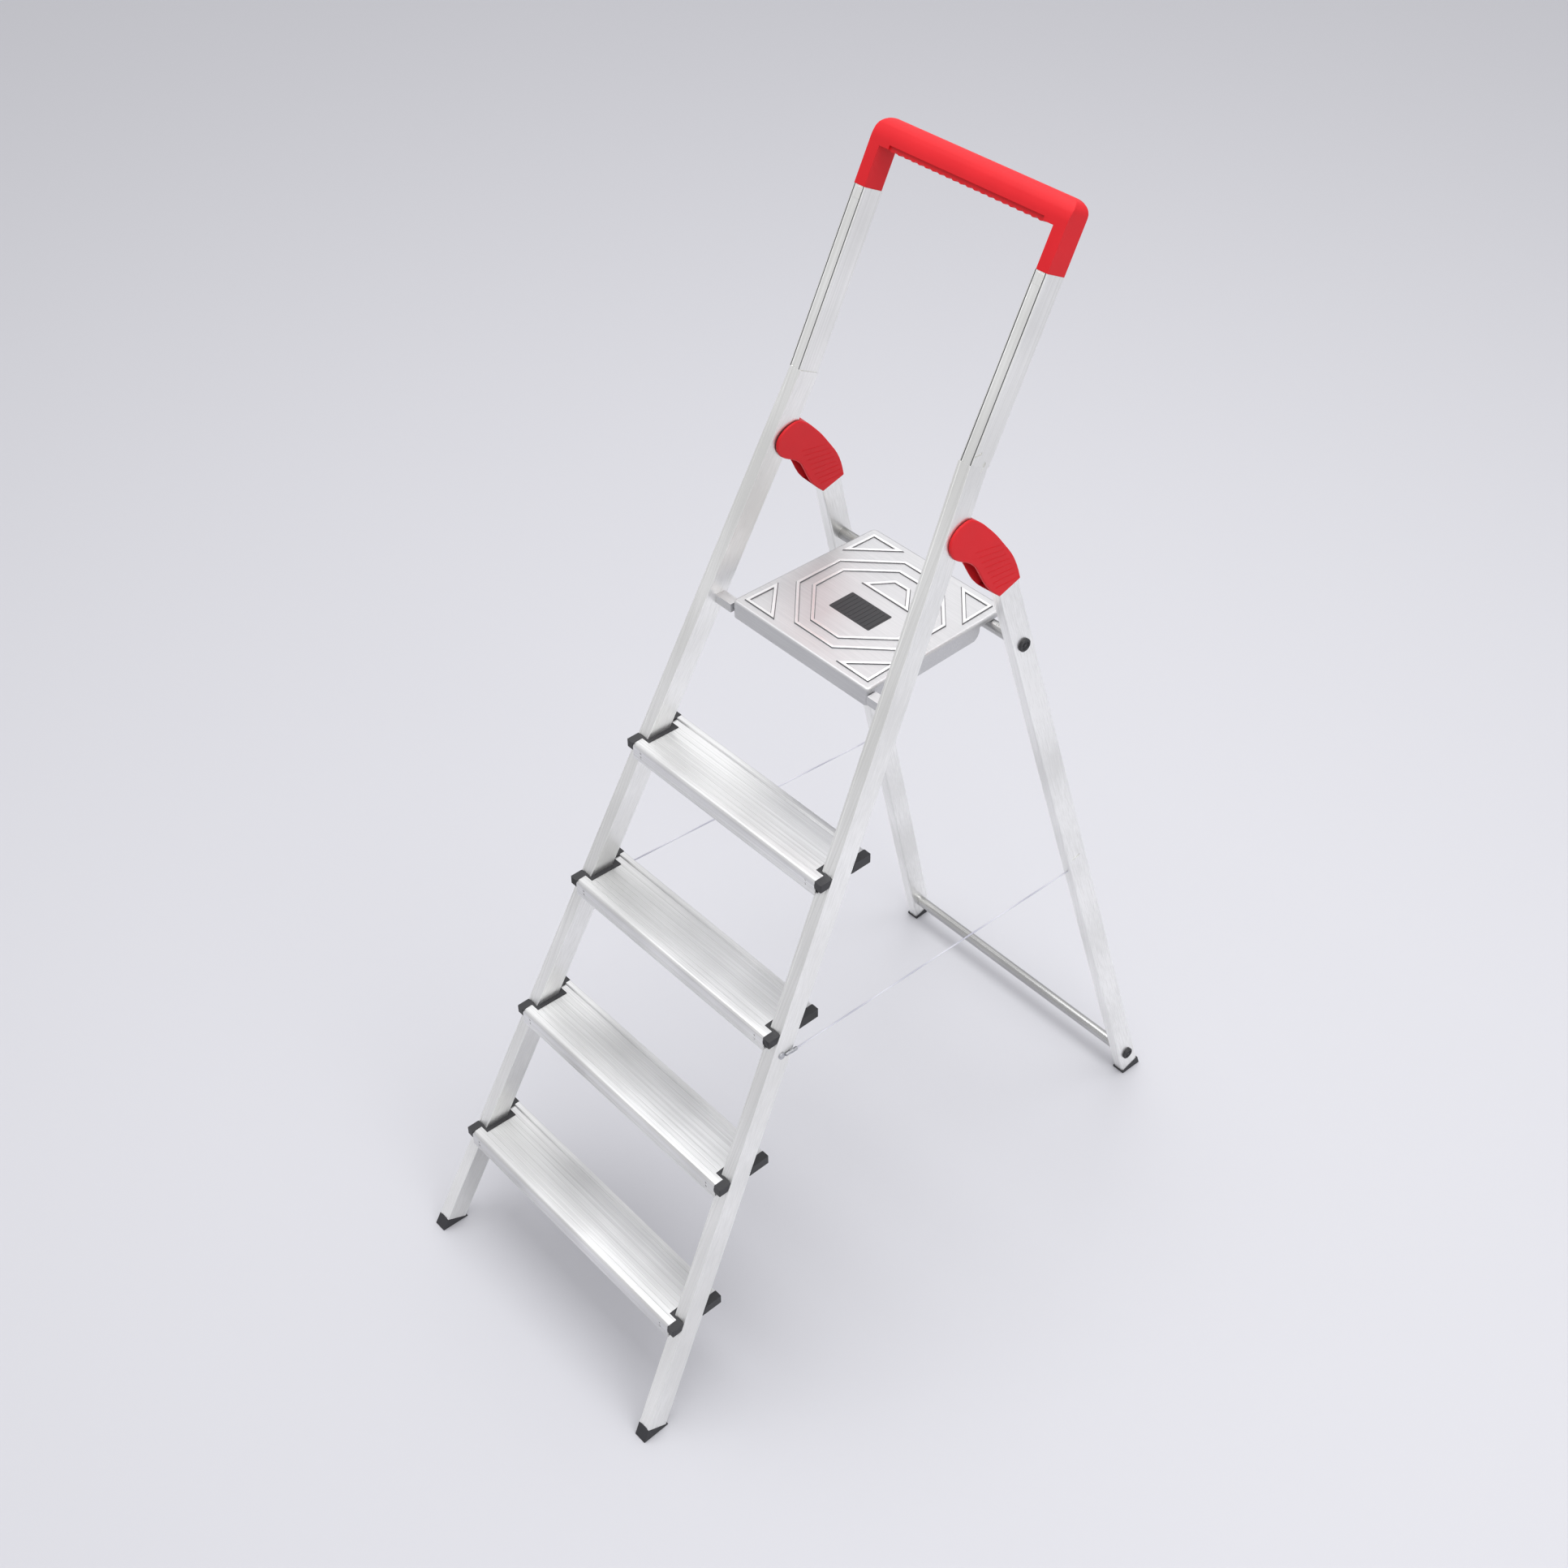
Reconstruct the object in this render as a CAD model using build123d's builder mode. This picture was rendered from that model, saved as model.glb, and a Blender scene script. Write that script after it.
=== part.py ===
from build123d import *
import os
from math import sin, cos, tan, radians

os.makedirs("parts", exist_ok=True)

# ---- driving dimensions, millimetres and degrees -------------------------------
stile_lean = 26.95          # front stiles, from the vertical
leg_lean = 15.83            # rear legs, from the vertical, the other way
stile_splay = 3.75          # each stile leans inwards towards the top
leg_splay = 3.87
stile_half_base = 263.0     # outer half width of the stiles at the floor
stile_width = 20.6          # across the ladder
stile_depth = 35.5          # front face to back face
tube_wall = 1.8
tube_corner = 1.4
groove_width = 13.0         # shallow groove along the front face
groove_depth = 0.7
stile_foot_cut = 21.4       # square cut at the lower end, measured along the stile
joint_above = 100.0         # guard rail's joint, past the hinge pin of the legs
guard_step = 1.46           # guard rail outside the stile's upper end
guard_width = 20.2
guard_length = 247.0
handle_rise = 91.0
handle_leg_width = 18.4
handle_bar_height = 37.0
handle_corner = 17.0
handle_profile = (             # grip's side profile: below its top, behind its front
    (27.0, 0.0),
    (13.0, 4.0),
    (4.0, 11.0),
    (0.0, 20.0),
    (2.0, 28.0),
    (8.0, 33.5),
)
handle_back = 18.0          # where the grip's back face turns straight
tongue_length = 40.0
sleeve_half_length = 38.0

first_tread = 186.0         # top of the lowest tread, above the floor
rise = 211.0                # from tread to tread, and from the last tread to the platform
tread_count = 4
tread_depth = 90.5
tread_overhang = 20.8       # in front of the stiles' front face
tread_height = 25.0
tread_skin = 2.2
tread_lip_rise = 2.5
tread_lip_depth = 17.0
tread_flange = 7.0
tread_lip_ramp = 1.5
nose_radius = 4.0
cap_lip = 13.0              # width of the end cap's front and rear lips
cap_web = 7.4               # end cap between the tread and the stile's inner face
cap_front = 3.0             # end cap in front of the stile
cap_rear = 9.0              # end cap behind the stile
cap_lip_height = 12.0
cap_rise = 0.8
cap_centre = 30.0           # end cap's web, centred this far inside the stile's outer face
cap_front_end = 5.0         # its front lip ends this far behind the stiles' front face
cap_rear_start = 25.0       # and its rear lip starts this far behind it

pivot_above = 234.517       # hinge pin of the rear legs, past the platform along the stile
pivot_depth = 24.0          # behind the stile's front face
leg_offset = 45.0           # hinge pin to the leg's front face
leg_width = 19.0
leg_depth = 35.6
leg_corner = 3.0
leg_foot_cut = 4.2
leg_below = 74.346          # leg's upper end, short of the hinge pin
cross_tube_radius = 9.0
cross_tube_wall = 1.5
low_tube_reach = 39.6       # lower cross tube, along the leg
tube_drop = 18.236          # upper cross tube's centre, below the deck's top
plug_radius = 10.0
plug_head = 3.0
plug_shank = 12.0
plug_round = 1.0
tube_proud = 0.4            # cross tubes stand out of the legs by this much

boot_skin = 0.5
boot_tail = 4.5
foot_skin = 1.2
plug_length = 18.0
plug_root = 2.0             # a boot's plug starts this far inside the boot

cap_cheek_gap = 1.2         # hinge cap's cheeks to the stile's sides
cap_cheek = 3.5
cap_back_wall = 3.2
cap_length = 131.5          # hinge cap's lower end, below the pin along the leg
cap_tip_margin = 3.5        # cap in front of the leg and behind it, at that end
cap_heel_margin = 1.5
cap_belly = (               # concave edge: above the lower end, before the leg's front face
    (13.0, 17.0),
    (38.0, 24.0),
)
cap_elbow = (               # rest of its outline, from the pin: to the back, upwards
    (31.0, -50.0),
    (15.0, -35.5),
    (-1.0, -26.0),
    (-12.0, -13.5),
    (-15.8, 1.0),
    (-12.0, 11.5),
    (-1.7, 20.1),
    (11.0, 24.0),
    (24.0, 24.2),
    (53.0, 0.0),
    (75.0, -26.5),
    (92.5, -52.0),
    (105.5, -80.0),
)
cavity_shifts = (8.0, 16.0, 24.0)   # hollow, copied towards the open side by these steps
cavity_slope = 0.8
cap_window = (80.0, 60.0)   # cut for the stile, below and above the pin
cap_window_front = 20.0
cap_window_back = 1.5
leg_slot_drop = 20.0        # solid fill round the leg, below the cap's end
leg_slot_back = 6.0
pin_radius = 5.0
pin_seat = 1.6              # how far the pin enters each cheek

deck_tail = 25.285          # deck behind the upper cross tube's centre
deck_front_half = 134.5
deck_rear_half = 129.0
deck_height = 27.0
deck_wall = 1.8
deck_corner = 8.0
deck_edge = 4.0
deck_ahead = 14.9           # deck's front edge, behind the stiles' front face
hinge_behind = 6.7          # platform hinge axis, behind the deck's front edge
hinge_drop = 15.0           # and below the deck's top
lug_depth = 16.0
lug_height = 14.0
lug_wall = 2.2
lug_gap = 1.0               # deck's side to the lug
lug_spare = 12.0            # lug's blank, trimmed back to the stile
lug_end_wall = 3.0
pin_entry = 6.0             # hinge pin inside the deck's side, and past the stile's wall
pin_proud = 0.5
hinge_pin_radius = 3.5
insert_size = (78.0, 45.0)
insert_centre = (3.0, 111.8)    # across, and behind the deck's front edge
insert_corner = 1.5
insert_thickness = 1.2
insert_recess = 0.8
saddle_width = 30.0
saddle_spacing = 170.0
saddle_lead = 14.0          # saddle ahead of the cross tube
saddle_jaw = 6.0            # its front underside above the tube's centre
saddle_keel = 3.0           # its rear underside below the tube's centre
deck_tube_gap = 1.2
notch_lead = 26.0           # deck's side skirts end this far ahead of the cross tube

cord_radius = 1.25
cord_eye_reach = 648.0
cord_eye_depth = 17.4
cord_anchor_reach = 555.0
eye_radius = 5.5
eye_thickness = 1.8
ferrule_radius = 2.4
ferrule_start = 5.2
ferrule_end = 26.0
rivet_head = 4.5
rivet_shank = 2.1
rivet_head_height = 1.2
rivet_tail = 1.0            # rivet inside the stile's wall
rivet_bore = 9.0            # its hole, to each side of the stile's outer face
crimp_radius = 3.0
crimp_length = 9.0
crimp_inset = 1.5           # crimp behind the leg's front wall
anchor_bore = 6.0           # cord's hole, ahead of the leg's front face

fit_gap = 0.1               # between pieces fixed to one another
pin_gap = 0.05              # running fit of the hinge pins
stop_gap = 0.3              # cross tube to the platform's saddles
blank_margin = 80.0         # blanks and cutting blocks run this far past the piece
cut_margin = 10.0

# ---- side frames ---------------------------------------------------------------
lean = radians(stile_lean)
back = radians(leg_lean)
splay = radians(stile_splay)
leg_in = radians(leg_splay)

half_span = stile_half_base + blank_margin  # half length of bars that cut through both sides
platform_height = first_tread + tread_count * rise
pivot_reach = platform_height / cos(lean) + pivot_above
joint_reach = pivot_reach + joint_above
handle_reach = joint_reach + guard_length
handle_top = handle_reach + handle_rise
pivot_y = pivot_reach * sin(lean) + pivot_depth * cos(lean)
pivot_z = pivot_reach * cos(lean) - pivot_depth * sin(lean)
leg_base = pivot_y + leg_offset * cos(back) + (pivot_z + leg_offset * sin(back)) * tan(back)
front_end = -boot_skin / cos(lean)
rear_end = leg_base + (leg_depth + foot_skin) / cos(back)
middle = (front_end + rear_end) / 2


def stile_at(reach, depth):
    """Side view position (y, z) at a distance along the stile and behind its front face."""
    return (
        reach * sin(lean) + depth * cos(lean) - middle,
        reach * cos(lean) - depth * sin(lean),
    )


def leg_at(reach, depth):
    """Side view position (y, z) at a distance along the rear leg and behind its front face."""
    return (
        leg_base - middle - reach * sin(back) + depth * cos(back),
        reach * cos(back) + depth * sin(back),
    )


def stile_outer(reach):
    return stile_half_base - reach * tan(splay)


guard_half_width = stile_outer(joint_reach) + guard_step
pivot = (pivot_y - middle, pivot_z)
pivot_x = stile_outer(pivot_reach) - stile_width / 2 / cos(splay)
leg_pivot_reach = (pivot_z + leg_offset * sin(back)) / cos(back)
leg_top = leg_pivot_reach - leg_below
high_tube_reach = (platform_height - tube_drop - leg_depth / 2 * sin(back)) / cos(back)
leg_half_base = pivot_x + leg_width / 2 / cos(leg_in) + leg_pivot_reach * tan(leg_in)


def leg_outer(reach):
    return leg_half_base - reach * tan(leg_in)


stile_axis = Vector(-sin(splay), cos(splay) * sin(lean), cos(splay) * cos(lean))
stile_out = Vector(cos(splay), sin(splay) * sin(lean), sin(splay) * cos(lean))
leg_axis = Vector(-sin(leg_in), -cos(leg_in) * sin(back), cos(leg_in) * cos(back))
leg_out = Vector(cos(leg_in), -sin(leg_in) * sin(back), sin(leg_in) * cos(back))

# section planes at the floor: local x runs outwards, local y runs to the back
stile_section = Plane(origin=(stile_half_base, *stile_at(0, 0)), x_dir=stile_out, z_dir=stile_axis)
leg_section = Plane(origin=(leg_half_base, *leg_at(0, 0)), x_dir=leg_out, z_dir=leg_axis)


def across_stile(reach):
    """Plane square to the stiles in side view."""
    return Plane(origin=(0, *stile_at(reach, 0)), x_dir=(1, 0, 0), z_dir=(0, sin(lean), cos(lean)))


def across_leg(reach):
    return Plane(origin=(0, *leg_at(reach, 0)), x_dir=(1, 0, 0), z_dir=(0, -sin(back), cos(back)))


def save(piece, name):
    piece.label = name
    export_step(piece, f"parts/{name}.step")


def save_pair(piece, name):
    """Write a right-hand piece and its mirror image."""
    save(piece, f"{name}_right")
    save(mirror(piece, about=Plane.YZ), f"{name}_left")


def beam(section, length, low_corner, high_corner):
    """Straight block along a side frame, from opposite corners of its section."""
    with BuildPart() as block:
        with BuildSketch(section.offset(-blank_margin)):
            with Locations(((low_corner[0] + high_corner[0]) / 2, (low_corner[1] + high_corner[1]) / 2)):
                Rectangle(high_corner[0] - low_corner[0], high_corner[1] - low_corner[1])
        extrude(amount=length + blank_margin)
    return block.part


def rod(start, end, radius):
    """Straight round bar between two points."""
    path = Vector(*end) - Vector(*start)
    with BuildPart() as bar:
        with BuildSketch(Plane(origin=start, z_dir=path)):
            Circle(radius)
        extrude(amount=path.length)
    return bar.part


def stile_block(front, inner, rear, outer):
    return beam(
        stile_section,
        joint_reach + blank_margin,
        (-stile_width - inner, -front),
        (outer, stile_depth + rear),
    )


def leg_block(margin):
    low_corner = (-leg_width - margin, -margin)
    return beam(leg_section, leg_top / cos(leg_in), low_corner, (margin, leg_depth + margin))


stile_body = stile_block(fit_gap, fit_gap, fit_gap, blank_margin)
leg_body = leg_block(fit_gap)

# ---- places that several pieces share ------------------------------------------
front_at_deck = platform_height * tan(lean)
deck_front = front_at_deck + deck_ahead - middle
hinge = (deck_front + hinge_behind, platform_height - hinge_drop)
low_tube = leg_at(low_tube_reach, leg_depth / 2)
high_tube = leg_at(high_tube_reach, leg_depth / 2)
deck_length = high_tube[0] + deck_tail - deck_front
hinge_reach = (hinge[0] + middle) * sin(lean) + hinge[1] * cos(lean)
lug_outer = stile_outer(hinge_reach) - stile_width
cap_half_inner = stile_width / 2 + cap_cheek_gap
cap_half_outer = cap_half_inner + cap_cheek
eye = stile_at(cord_eye_reach, cord_eye_depth)
anchor = leg_at(cord_anchor_reach, 0)
anchor_x = leg_outer(cord_anchor_reach) - leg_width / 2
eye_x = stile_outer(cord_eye_reach) + fit_gap + ferrule_radius
cord_run = Vector(anchor_x, *anchor) - Vector(eye_x, *eye)
cord_way = cord_run.normalized()
cord_start = Vector(eye_x, *eye) + cord_way * ferrule_end
crimp_start = Vector(anchor_x, *anchor) + cord_way * (tube_wall + crimp_inset)
cord_hole = rod(
    tuple(Vector(anchor_x, *anchor) - cord_way * anchor_bore), tuple(crimp_start), cord_radius + stop_gap
)

eye_centre = Vector(stile_outer(cord_eye_reach), *eye)
rivet_way = stile_out * rivet_bore
rivet_hole = rod(tuple(eye_centre - rivet_way), tuple(eye_centre + rivet_way), rivet_shank + pin_gap)

# ---- stiles: grooved rectangular tubes -----------------------------------------
bore_height = stile_depth - 2 * tube_wall - groove_depth
with BuildPart() as stile:
    with BuildSketch(stile_section):
        with Locations((-stile_width / 2, stile_depth / 2)):
            RectangleRounded(stile_width, stile_depth, tube_corner)
            Rectangle(stile_width - 2 * tube_wall, bore_height, mode=Mode.SUBTRACT)
        with Locations((-stile_width / 2, groove_depth / 2)):
            Rectangle(groove_width, groove_depth, mode=Mode.SUBTRACT)
    extrude(amount=joint_reach + blank_margin)
    split(bisect_by=across_stile(stile_foot_cut), keep=Keep.TOP)
    split(bisect_by=across_stile(joint_reach), keep=Keep.BOTTOM)
    add(rod((0, *pivot), (half_span, *pivot), pin_radius + pin_gap), mode=Mode.SUBTRACT)
    pin_bore_end = lug_outer + tube_wall + 2 * pin_proud
    add(rod((0, *hinge), (pin_bore_end, *hinge), hinge_pin_radius + pin_gap), mode=Mode.SUBTRACT)
    add(rivet_hole, mode=Mode.SUBTRACT)
save_pair(stile.part, "stile")

# ---- guard rail tubes above the stiles, upright across the ladder --------------
guard_plane = across_stile(joint_reach)
guard_centre = (guard_half_width - guard_width / 2, stile_depth / 2)
with BuildPart() as guard_rail:
    with BuildSketch(guard_plane):
        with Locations(guard_centre):
            RectangleRounded(guard_width, stile_depth, tube_corner)
            Rectangle(guard_width - 2 * tube_wall, bore_height, mode=Mode.SUBTRACT)
        with Locations((guard_centre[0], groove_depth / 2)):
            Rectangle(groove_width, groove_depth, mode=Mode.SUBTRACT)
    extrude(amount=handle_reach - joint_reach)
save_pair(guard_rail.part, "guard_rail")

# ---- sleeves inside the joint between stile and guard rail ---------------------
bore_depth = bore_height - 2 * fit_gap
with BuildPart() as rail_sleeve:
    with BuildSketch(stile_section.offset((joint_reach - sleeve_half_length) / cos(splay))):
        with Locations((-stile_width / 2, stile_depth / 2)):
            Rectangle(stile_width - 2 * tube_wall - 2 * fit_gap, bore_depth)
    extrude(amount=sleeve_half_length + cut_margin)
    split(bisect_by=across_stile(joint_reach), keep=Keep.BOTTOM)
    with BuildSketch(guard_plane):
        with Locations(guard_centre):
            Rectangle(guard_width - 2 * tube_wall - 2 * fit_gap, bore_depth)
    extrude(amount=sleeve_half_length)
save_pair(rail_sleeve.part, "rail_sleeve")

# ---- handle: a hoop whose tongues enter the guard rail tubes -------------------
handle_plane = Plane(origin=(0, *stile_at(0, 0)), x_dir=(1, 0, 0), z_dir=(0, -cos(lean), sin(lean)))
grip_under = handle_top - handle_bar_height
leg_inner = guard_half_width - handle_leg_width
with BuildPart() as handle:
    with BuildSketch(handle_plane) as hoop:
        with Locations((0, (handle_reach + handle_top) / 2)):
            Rectangle(2 * guard_half_width, handle_top - handle_reach)
        fillet(hoop.vertices().group_by(Axis.Z)[-1], handle_corner)
        with Locations((0, (handle_reach + grip_under - cut_margin) / 2)):
            Rectangle(2 * leg_inner, grip_under - handle_reach + cut_margin, mode=Mode.SUBTRACT)
    extrude(amount=-stile_depth)
    with BuildSketch(Plane.YZ.offset(-guard_half_width - cut_margin)):
        with BuildLine():
            Polyline(
                stile_at(handle_reach - cut_margin, 0),
                *[stile_at(handle_top - below, behind) for below, behind in handle_profile],
                stile_at(handle_top - handle_back, stile_depth),
                stile_at(handle_reach - cut_margin, stile_depth),
                close=True,
            )
        make_face()
    extrude(amount=2 * (guard_half_width + cut_margin), mode=Mode.INTERSECT)
    with BuildSketch(across_stile(handle_reach - tongue_length)):
        for side in (-1, 1):
            with Locations((side * guard_centre[0], guard_centre[1])):
                Rectangle(guard_width - 2 * tube_wall - 2 * fit_gap, bore_depth)
    extrude(amount=tongue_length + cut_margin)
save(handle.part, "handle")

# ---- boots under the stiles ----------------------------------------------------
with BuildPart() as boot:
    with BuildSketch(stile_section.offset(-blank_margin)):
        with Locations((-stile_width / 2, (stile_depth + boot_tail - boot_skin) / 2)):
            Rectangle(stile_width + 2 * boot_skin, stile_depth + boot_tail + boot_skin)
    extrude(amount=2 * blank_margin)
    split(bisect_by=Plane.XY, keep=Keep.TOP)
    split(bisect_by=across_stile(stile_foot_cut), keep=Keep.BOTTOM)
    with BuildSketch(stile_section.offset(stile_foot_cut - plug_root)):
        with Locations((-stile_width / 2, stile_depth / 2)):
            Rectangle(stile_width - 2 * tube_wall - 2 * fit_gap, bore_depth)
    extrude(amount=plug_length)
save_pair(boot.part, "boot")

# ---- treads and their end caps -------------------------------------------------
notch_right = stile_block(cap_front, cap_web, cap_rear, blank_margin)
notch_pair = notch_right + mirror(notch_right, about=Plane.YZ)
cap_body = stile_block(cap_front - fit_gap, cap_web - fit_gap, cap_rear - fit_gap, blank_margin)

for step in range(1, tread_count + 1):
    top = platform_height - rise * (tread_count + 1 - step)
    face = top * tan(lean) - middle
    front = face - tread_overhang
    rear = front + tread_depth
    outer = stile_outer(top / cos(lean))
    lip_x = outer - (cap_lip - fit_gap) / 2
    with BuildPart() as tread:
        with BuildSketch(Plane.YZ):
            with BuildLine():
                Polyline(
                    (front, top - tread_height),
                    (front, top),
                    (rear - tread_lip_depth, top),
                    (rear - tread_lip_depth + tread_lip_ramp, top + tread_lip_rise),
                    (rear, top + tread_lip_rise),
                    (rear, top - tread_height),
                    (rear - tread_flange, top - tread_height),
                    (rear - tread_flange, top - tread_height + tread_skin),
                    (rear - tread_skin, top - tread_height + tread_skin),
                    (rear - tread_skin, top - tread_skin),
                    (front + tread_skin, top - tread_skin),
                    (front + tread_skin, top - tread_height + tread_skin),
                    (front + tread_flange, top - tread_height + tread_skin),
                    (front + tread_flange, top - tread_height),
                    close=True,
                )
            make_face()
        extrude(amount=outer - cap_lip, both=True)
        nose = tread.edges().filter_by(Axis.X).filter_by_position(Axis.Y, front - 0.01, front + 0.01)
        fillet(nose.sort_by(Axis.Z)[-1], nose_radius)
        add(notch_pair, mode=Mode.SUBTRACT)
    save(tread.part, f"tread_{step}")

    with BuildPart() as end_cap:
        with BuildSketch(Plane.XY.offset(top - tread_height)):
            with Locations((outer - cap_centre, (front + rear) / 2)):
                Rectangle(2 * (cap_centre - cap_lip + fit_gap), tread_depth)
        extrude(amount=tread_height + cap_rise)
        add(cap_body, mode=Mode.INTERSECT)
        with BuildSketch(Plane.XY.offset(top - cap_lip_height)):
            with Locations((lip_x, (front + face + cap_front_end) / 2)):
                Rectangle(cap_lip - fit_gap, face + cap_front_end - front)
        extrude(amount=cap_lip_height + cap_rise)
        with BuildSketch(Plane.XY.offset(top - cap_lip_height)):
            with Locations((lip_x, (face + cap_rear_start + rear) / 2)):
                Rectangle(cap_lip - fit_gap, rear - face - cap_rear_start)
        extrude(amount=cap_lip_height + tread_lip_rise)
        add(stile_body, mode=Mode.SUBTRACT)
    save_pair(end_cap.part, f"end_cap_{step}")

# ---- rear legs: rounded rectangular tubes --------------------------------------
leg_bore = (leg_width - 2 * tube_wall, leg_depth - 2 * tube_wall)
with BuildPart() as leg:
    with BuildSketch(leg_section):
        with Locations((-leg_width / 2, leg_depth / 2)):
            RectangleRounded(leg_width, leg_depth, leg_corner)
            RectangleRounded(*leg_bore, leg_corner - tube_wall, mode=Mode.SUBTRACT)
    extrude(amount=leg_top / cos(leg_in))
    split(bisect_by=across_leg(leg_foot_cut), keep=Keep.TOP)
    for spot in (low_tube, high_tube):
        add(rod((0, *spot), (half_span, *spot), cross_tube_radius + fit_gap), mode=Mode.SUBTRACT)
    add(cord_hole, mode=Mode.SUBTRACT)
save_pair(leg.part, "rear_leg")

# ---- cross tubes through the legs, with end plugs ------------------------------
for name, spot, reach in (("lower", low_tube, low_tube_reach), ("upper", high_tube, high_tube_reach)):
    tube_end = leg_outer(reach) + tube_proud
    with BuildPart() as cross_tube:
        with BuildSketch(Plane(origin=(0, *spot), z_dir=(1, 0, 0))):
            Circle(cross_tube_radius)
            Circle(cross_tube_radius - cross_tube_wall, mode=Mode.SUBTRACT)
        extrude(amount=tube_end, both=True)
    save(cross_tube.part, f"{name}_cross_tube")

    with BuildPart() as plug:
        with BuildSketch(Plane(origin=(tube_end + stop_gap, *spot), z_dir=(1, 0, 0))):
            Circle(plug_radius)
        extrude(amount=plug_head)
        fillet(plug.edges().sort_by(Axis.X)[-1], plug_round)
        with BuildSketch(Plane(origin=(tube_end + stop_gap, *spot), z_dir=(-1, 0, 0))):
            Circle(cross_tube_radius - cross_tube_wall - fit_gap)
        extrude(amount=plug_shank)
    save_pair(plug.part, f"{name}_tube_plug")

# ---- feet under the rear legs --------------------------------------------------
with BuildPart() as foot:
    with BuildSketch(leg_section.offset(-blank_margin)):
        with Locations((-leg_width / 2, leg_depth / 2)):
            Rectangle(leg_width + 2 * foot_skin, leg_depth + 2 * foot_skin)
    extrude(amount=2 * blank_margin)
    split(bisect_by=Plane.XY, keep=Keep.TOP)
    split(bisect_by=across_leg(leg_foot_cut), keep=Keep.BOTTOM)
    with BuildSketch(leg_section.offset(leg_foot_cut - plug_root)):
        with Locations((-leg_width / 2, leg_depth / 2)):
            RectangleRounded(leg_bore[0] - 2 * fit_gap, leg_bore[1] - 2 * fit_gap, leg_corner - tube_wall)
    extrude(amount=plug_length)
save_pair(foot.part, "rear_foot")

# ---- hinge caps: elbows with two cheeks beside the stile and a back wall -------
cap_slope = tan(splay)
cap_turn = radians(90 - stile_lean + (stile_lean + leg_lean) / 2)
cap_normal = Vector(1, cap_slope * cos(cap_turn), cap_slope * sin(cap_turn)).normalized()
cap_plane = Plane(origin=(pivot_x, *pivot), x_dir=(0, 1, 0), z_dir=cap_normal)
leg_foot_of_cap = leg_pivot_reach - cap_length
cap_tip = leg_at(leg_foot_of_cap, -cap_tip_margin)
cap_heel = leg_at(leg_foot_of_cap, leg_depth + cap_heel_margin)


def from_pivot(spot):
    return (spot[0] - pivot[0], spot[1] - pivot[1])


cap_outline = [
    from_pivot(cap_tip),
    *[from_pivot(leg_at(leg_foot_of_cap + above, -ahead)) for above, ahead in cap_belly],
    *cap_elbow,
    from_pivot(cap_heel),
]
with BuildPart() as hinge_cap:
    with BuildSketch(cap_plane):
        with BuildLine():
            Polyline(*cap_outline, close=True)
        make_face()
    extrude(amount=cap_half_outer, both=True)
    with BuildSketch(cap_plane) as cavity:
        with BuildLine():
            Polyline(*cap_outline, close=True)
        make_face()
        offset(amount=-cap_back_wall, mode=Mode.REPLACE)
        inset = cavity.sketch_local
        for shift in cavity_shifts:
            add(Pos(-shift, -shift * cavity_slope) * inset)
        with BuildLine():
            Polyline(
                from_pivot(stile_at(pivot_reach - cap_window[0], -cap_window_front)),
                from_pivot(stile_at(pivot_reach - cap_window[0], stile_depth + cap_window_back)),
                from_pivot(stile_at(pivot_reach + cap_window[1], stile_depth + cap_window_back)),
                from_pivot(stile_at(pivot_reach + cap_window[1], -cap_window_front)),
                close=True,
            )
        make_face()
        with BuildLine():
            Polyline(
                from_pivot(leg_at(leg_foot_of_cap - leg_slot_drop, -fit_gap)),
                from_pivot(leg_at(leg_foot_of_cap - leg_slot_drop, leg_depth + leg_slot_back)),
                from_pivot(leg_at(leg_top + fit_gap, leg_depth + leg_slot_back)),
                from_pivot(leg_at(leg_top + fit_gap, -fit_gap)),
                close=True,
            )
        make_face(mode=Mode.SUBTRACT)
    extrude(amount=cap_half_inner, both=True, mode=Mode.SUBTRACT)
    add(leg_body, mode=Mode.SUBTRACT)
    reach_out = cap_half_inner + pin_seat
    pin_bore = rod((pivot_x - reach_out, *pivot), (pivot_x + reach_out, *pivot), pin_radius + pin_gap)
    add(pin_bore, mode=Mode.SUBTRACT)
save_pair(hinge_cap.part, "hinge_cap")

pin_half = cap_half_inner + pin_seat - stop_gap
save_pair(rod((pivot_x - pin_half, *pivot), (pivot_x + pin_half, *pivot), pin_radius), "pivot_pin")

# ---- platform: a pan with a recessed insert, on two saddles --------------------
with BuildPart() as deck:
    with BuildSketch(Plane.XY.offset(platform_height - deck_height)) as plan:
        with BuildLine():
            Polyline(
                (-deck_front_half, deck_front),
                (deck_front_half, deck_front),
                (deck_rear_half, deck_front + deck_length),
                (-deck_rear_half, deck_front + deck_length),
                close=True,
            )
        make_face()
        fillet(plan.vertices(), deck_corner)
    extrude(amount=deck_height)
    fillet(deck.faces().sort_by(Axis.Z)[-1].edges(), deck_edge)
    offset(amount=-deck_wall, openings=deck.faces().sort_by(Axis.Z)[0])
    notch_floor = high_tube[1] + cross_tube_radius + deck_tube_gap
    with BuildSketch(Plane.YZ):
        with Locations((high_tube[0], (notch_floor + platform_height - deck_height - cut_margin) / 2)):
            Rectangle(2 * notch_lead, notch_floor - platform_height + deck_height + cut_margin)
    extrude(amount=deck_front_half + cut_margin, both=True, mode=Mode.SUBTRACT)
    with BuildSketch(Plane.XY.offset(platform_height)):
        with Locations((insert_centre[0], deck_front + insert_centre[1])):
            Rectangle(insert_size[0] + 2 * fit_gap, insert_size[1] + 2 * fit_gap)
    extrude(amount=-insert_recess, mode=Mode.SUBTRACT)
    hinge_bar = rod((-half_span, *hinge), (half_span, *hinge), hinge_pin_radius + pin_gap)
    add(hinge_bar, mode=Mode.SUBTRACT)
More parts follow.
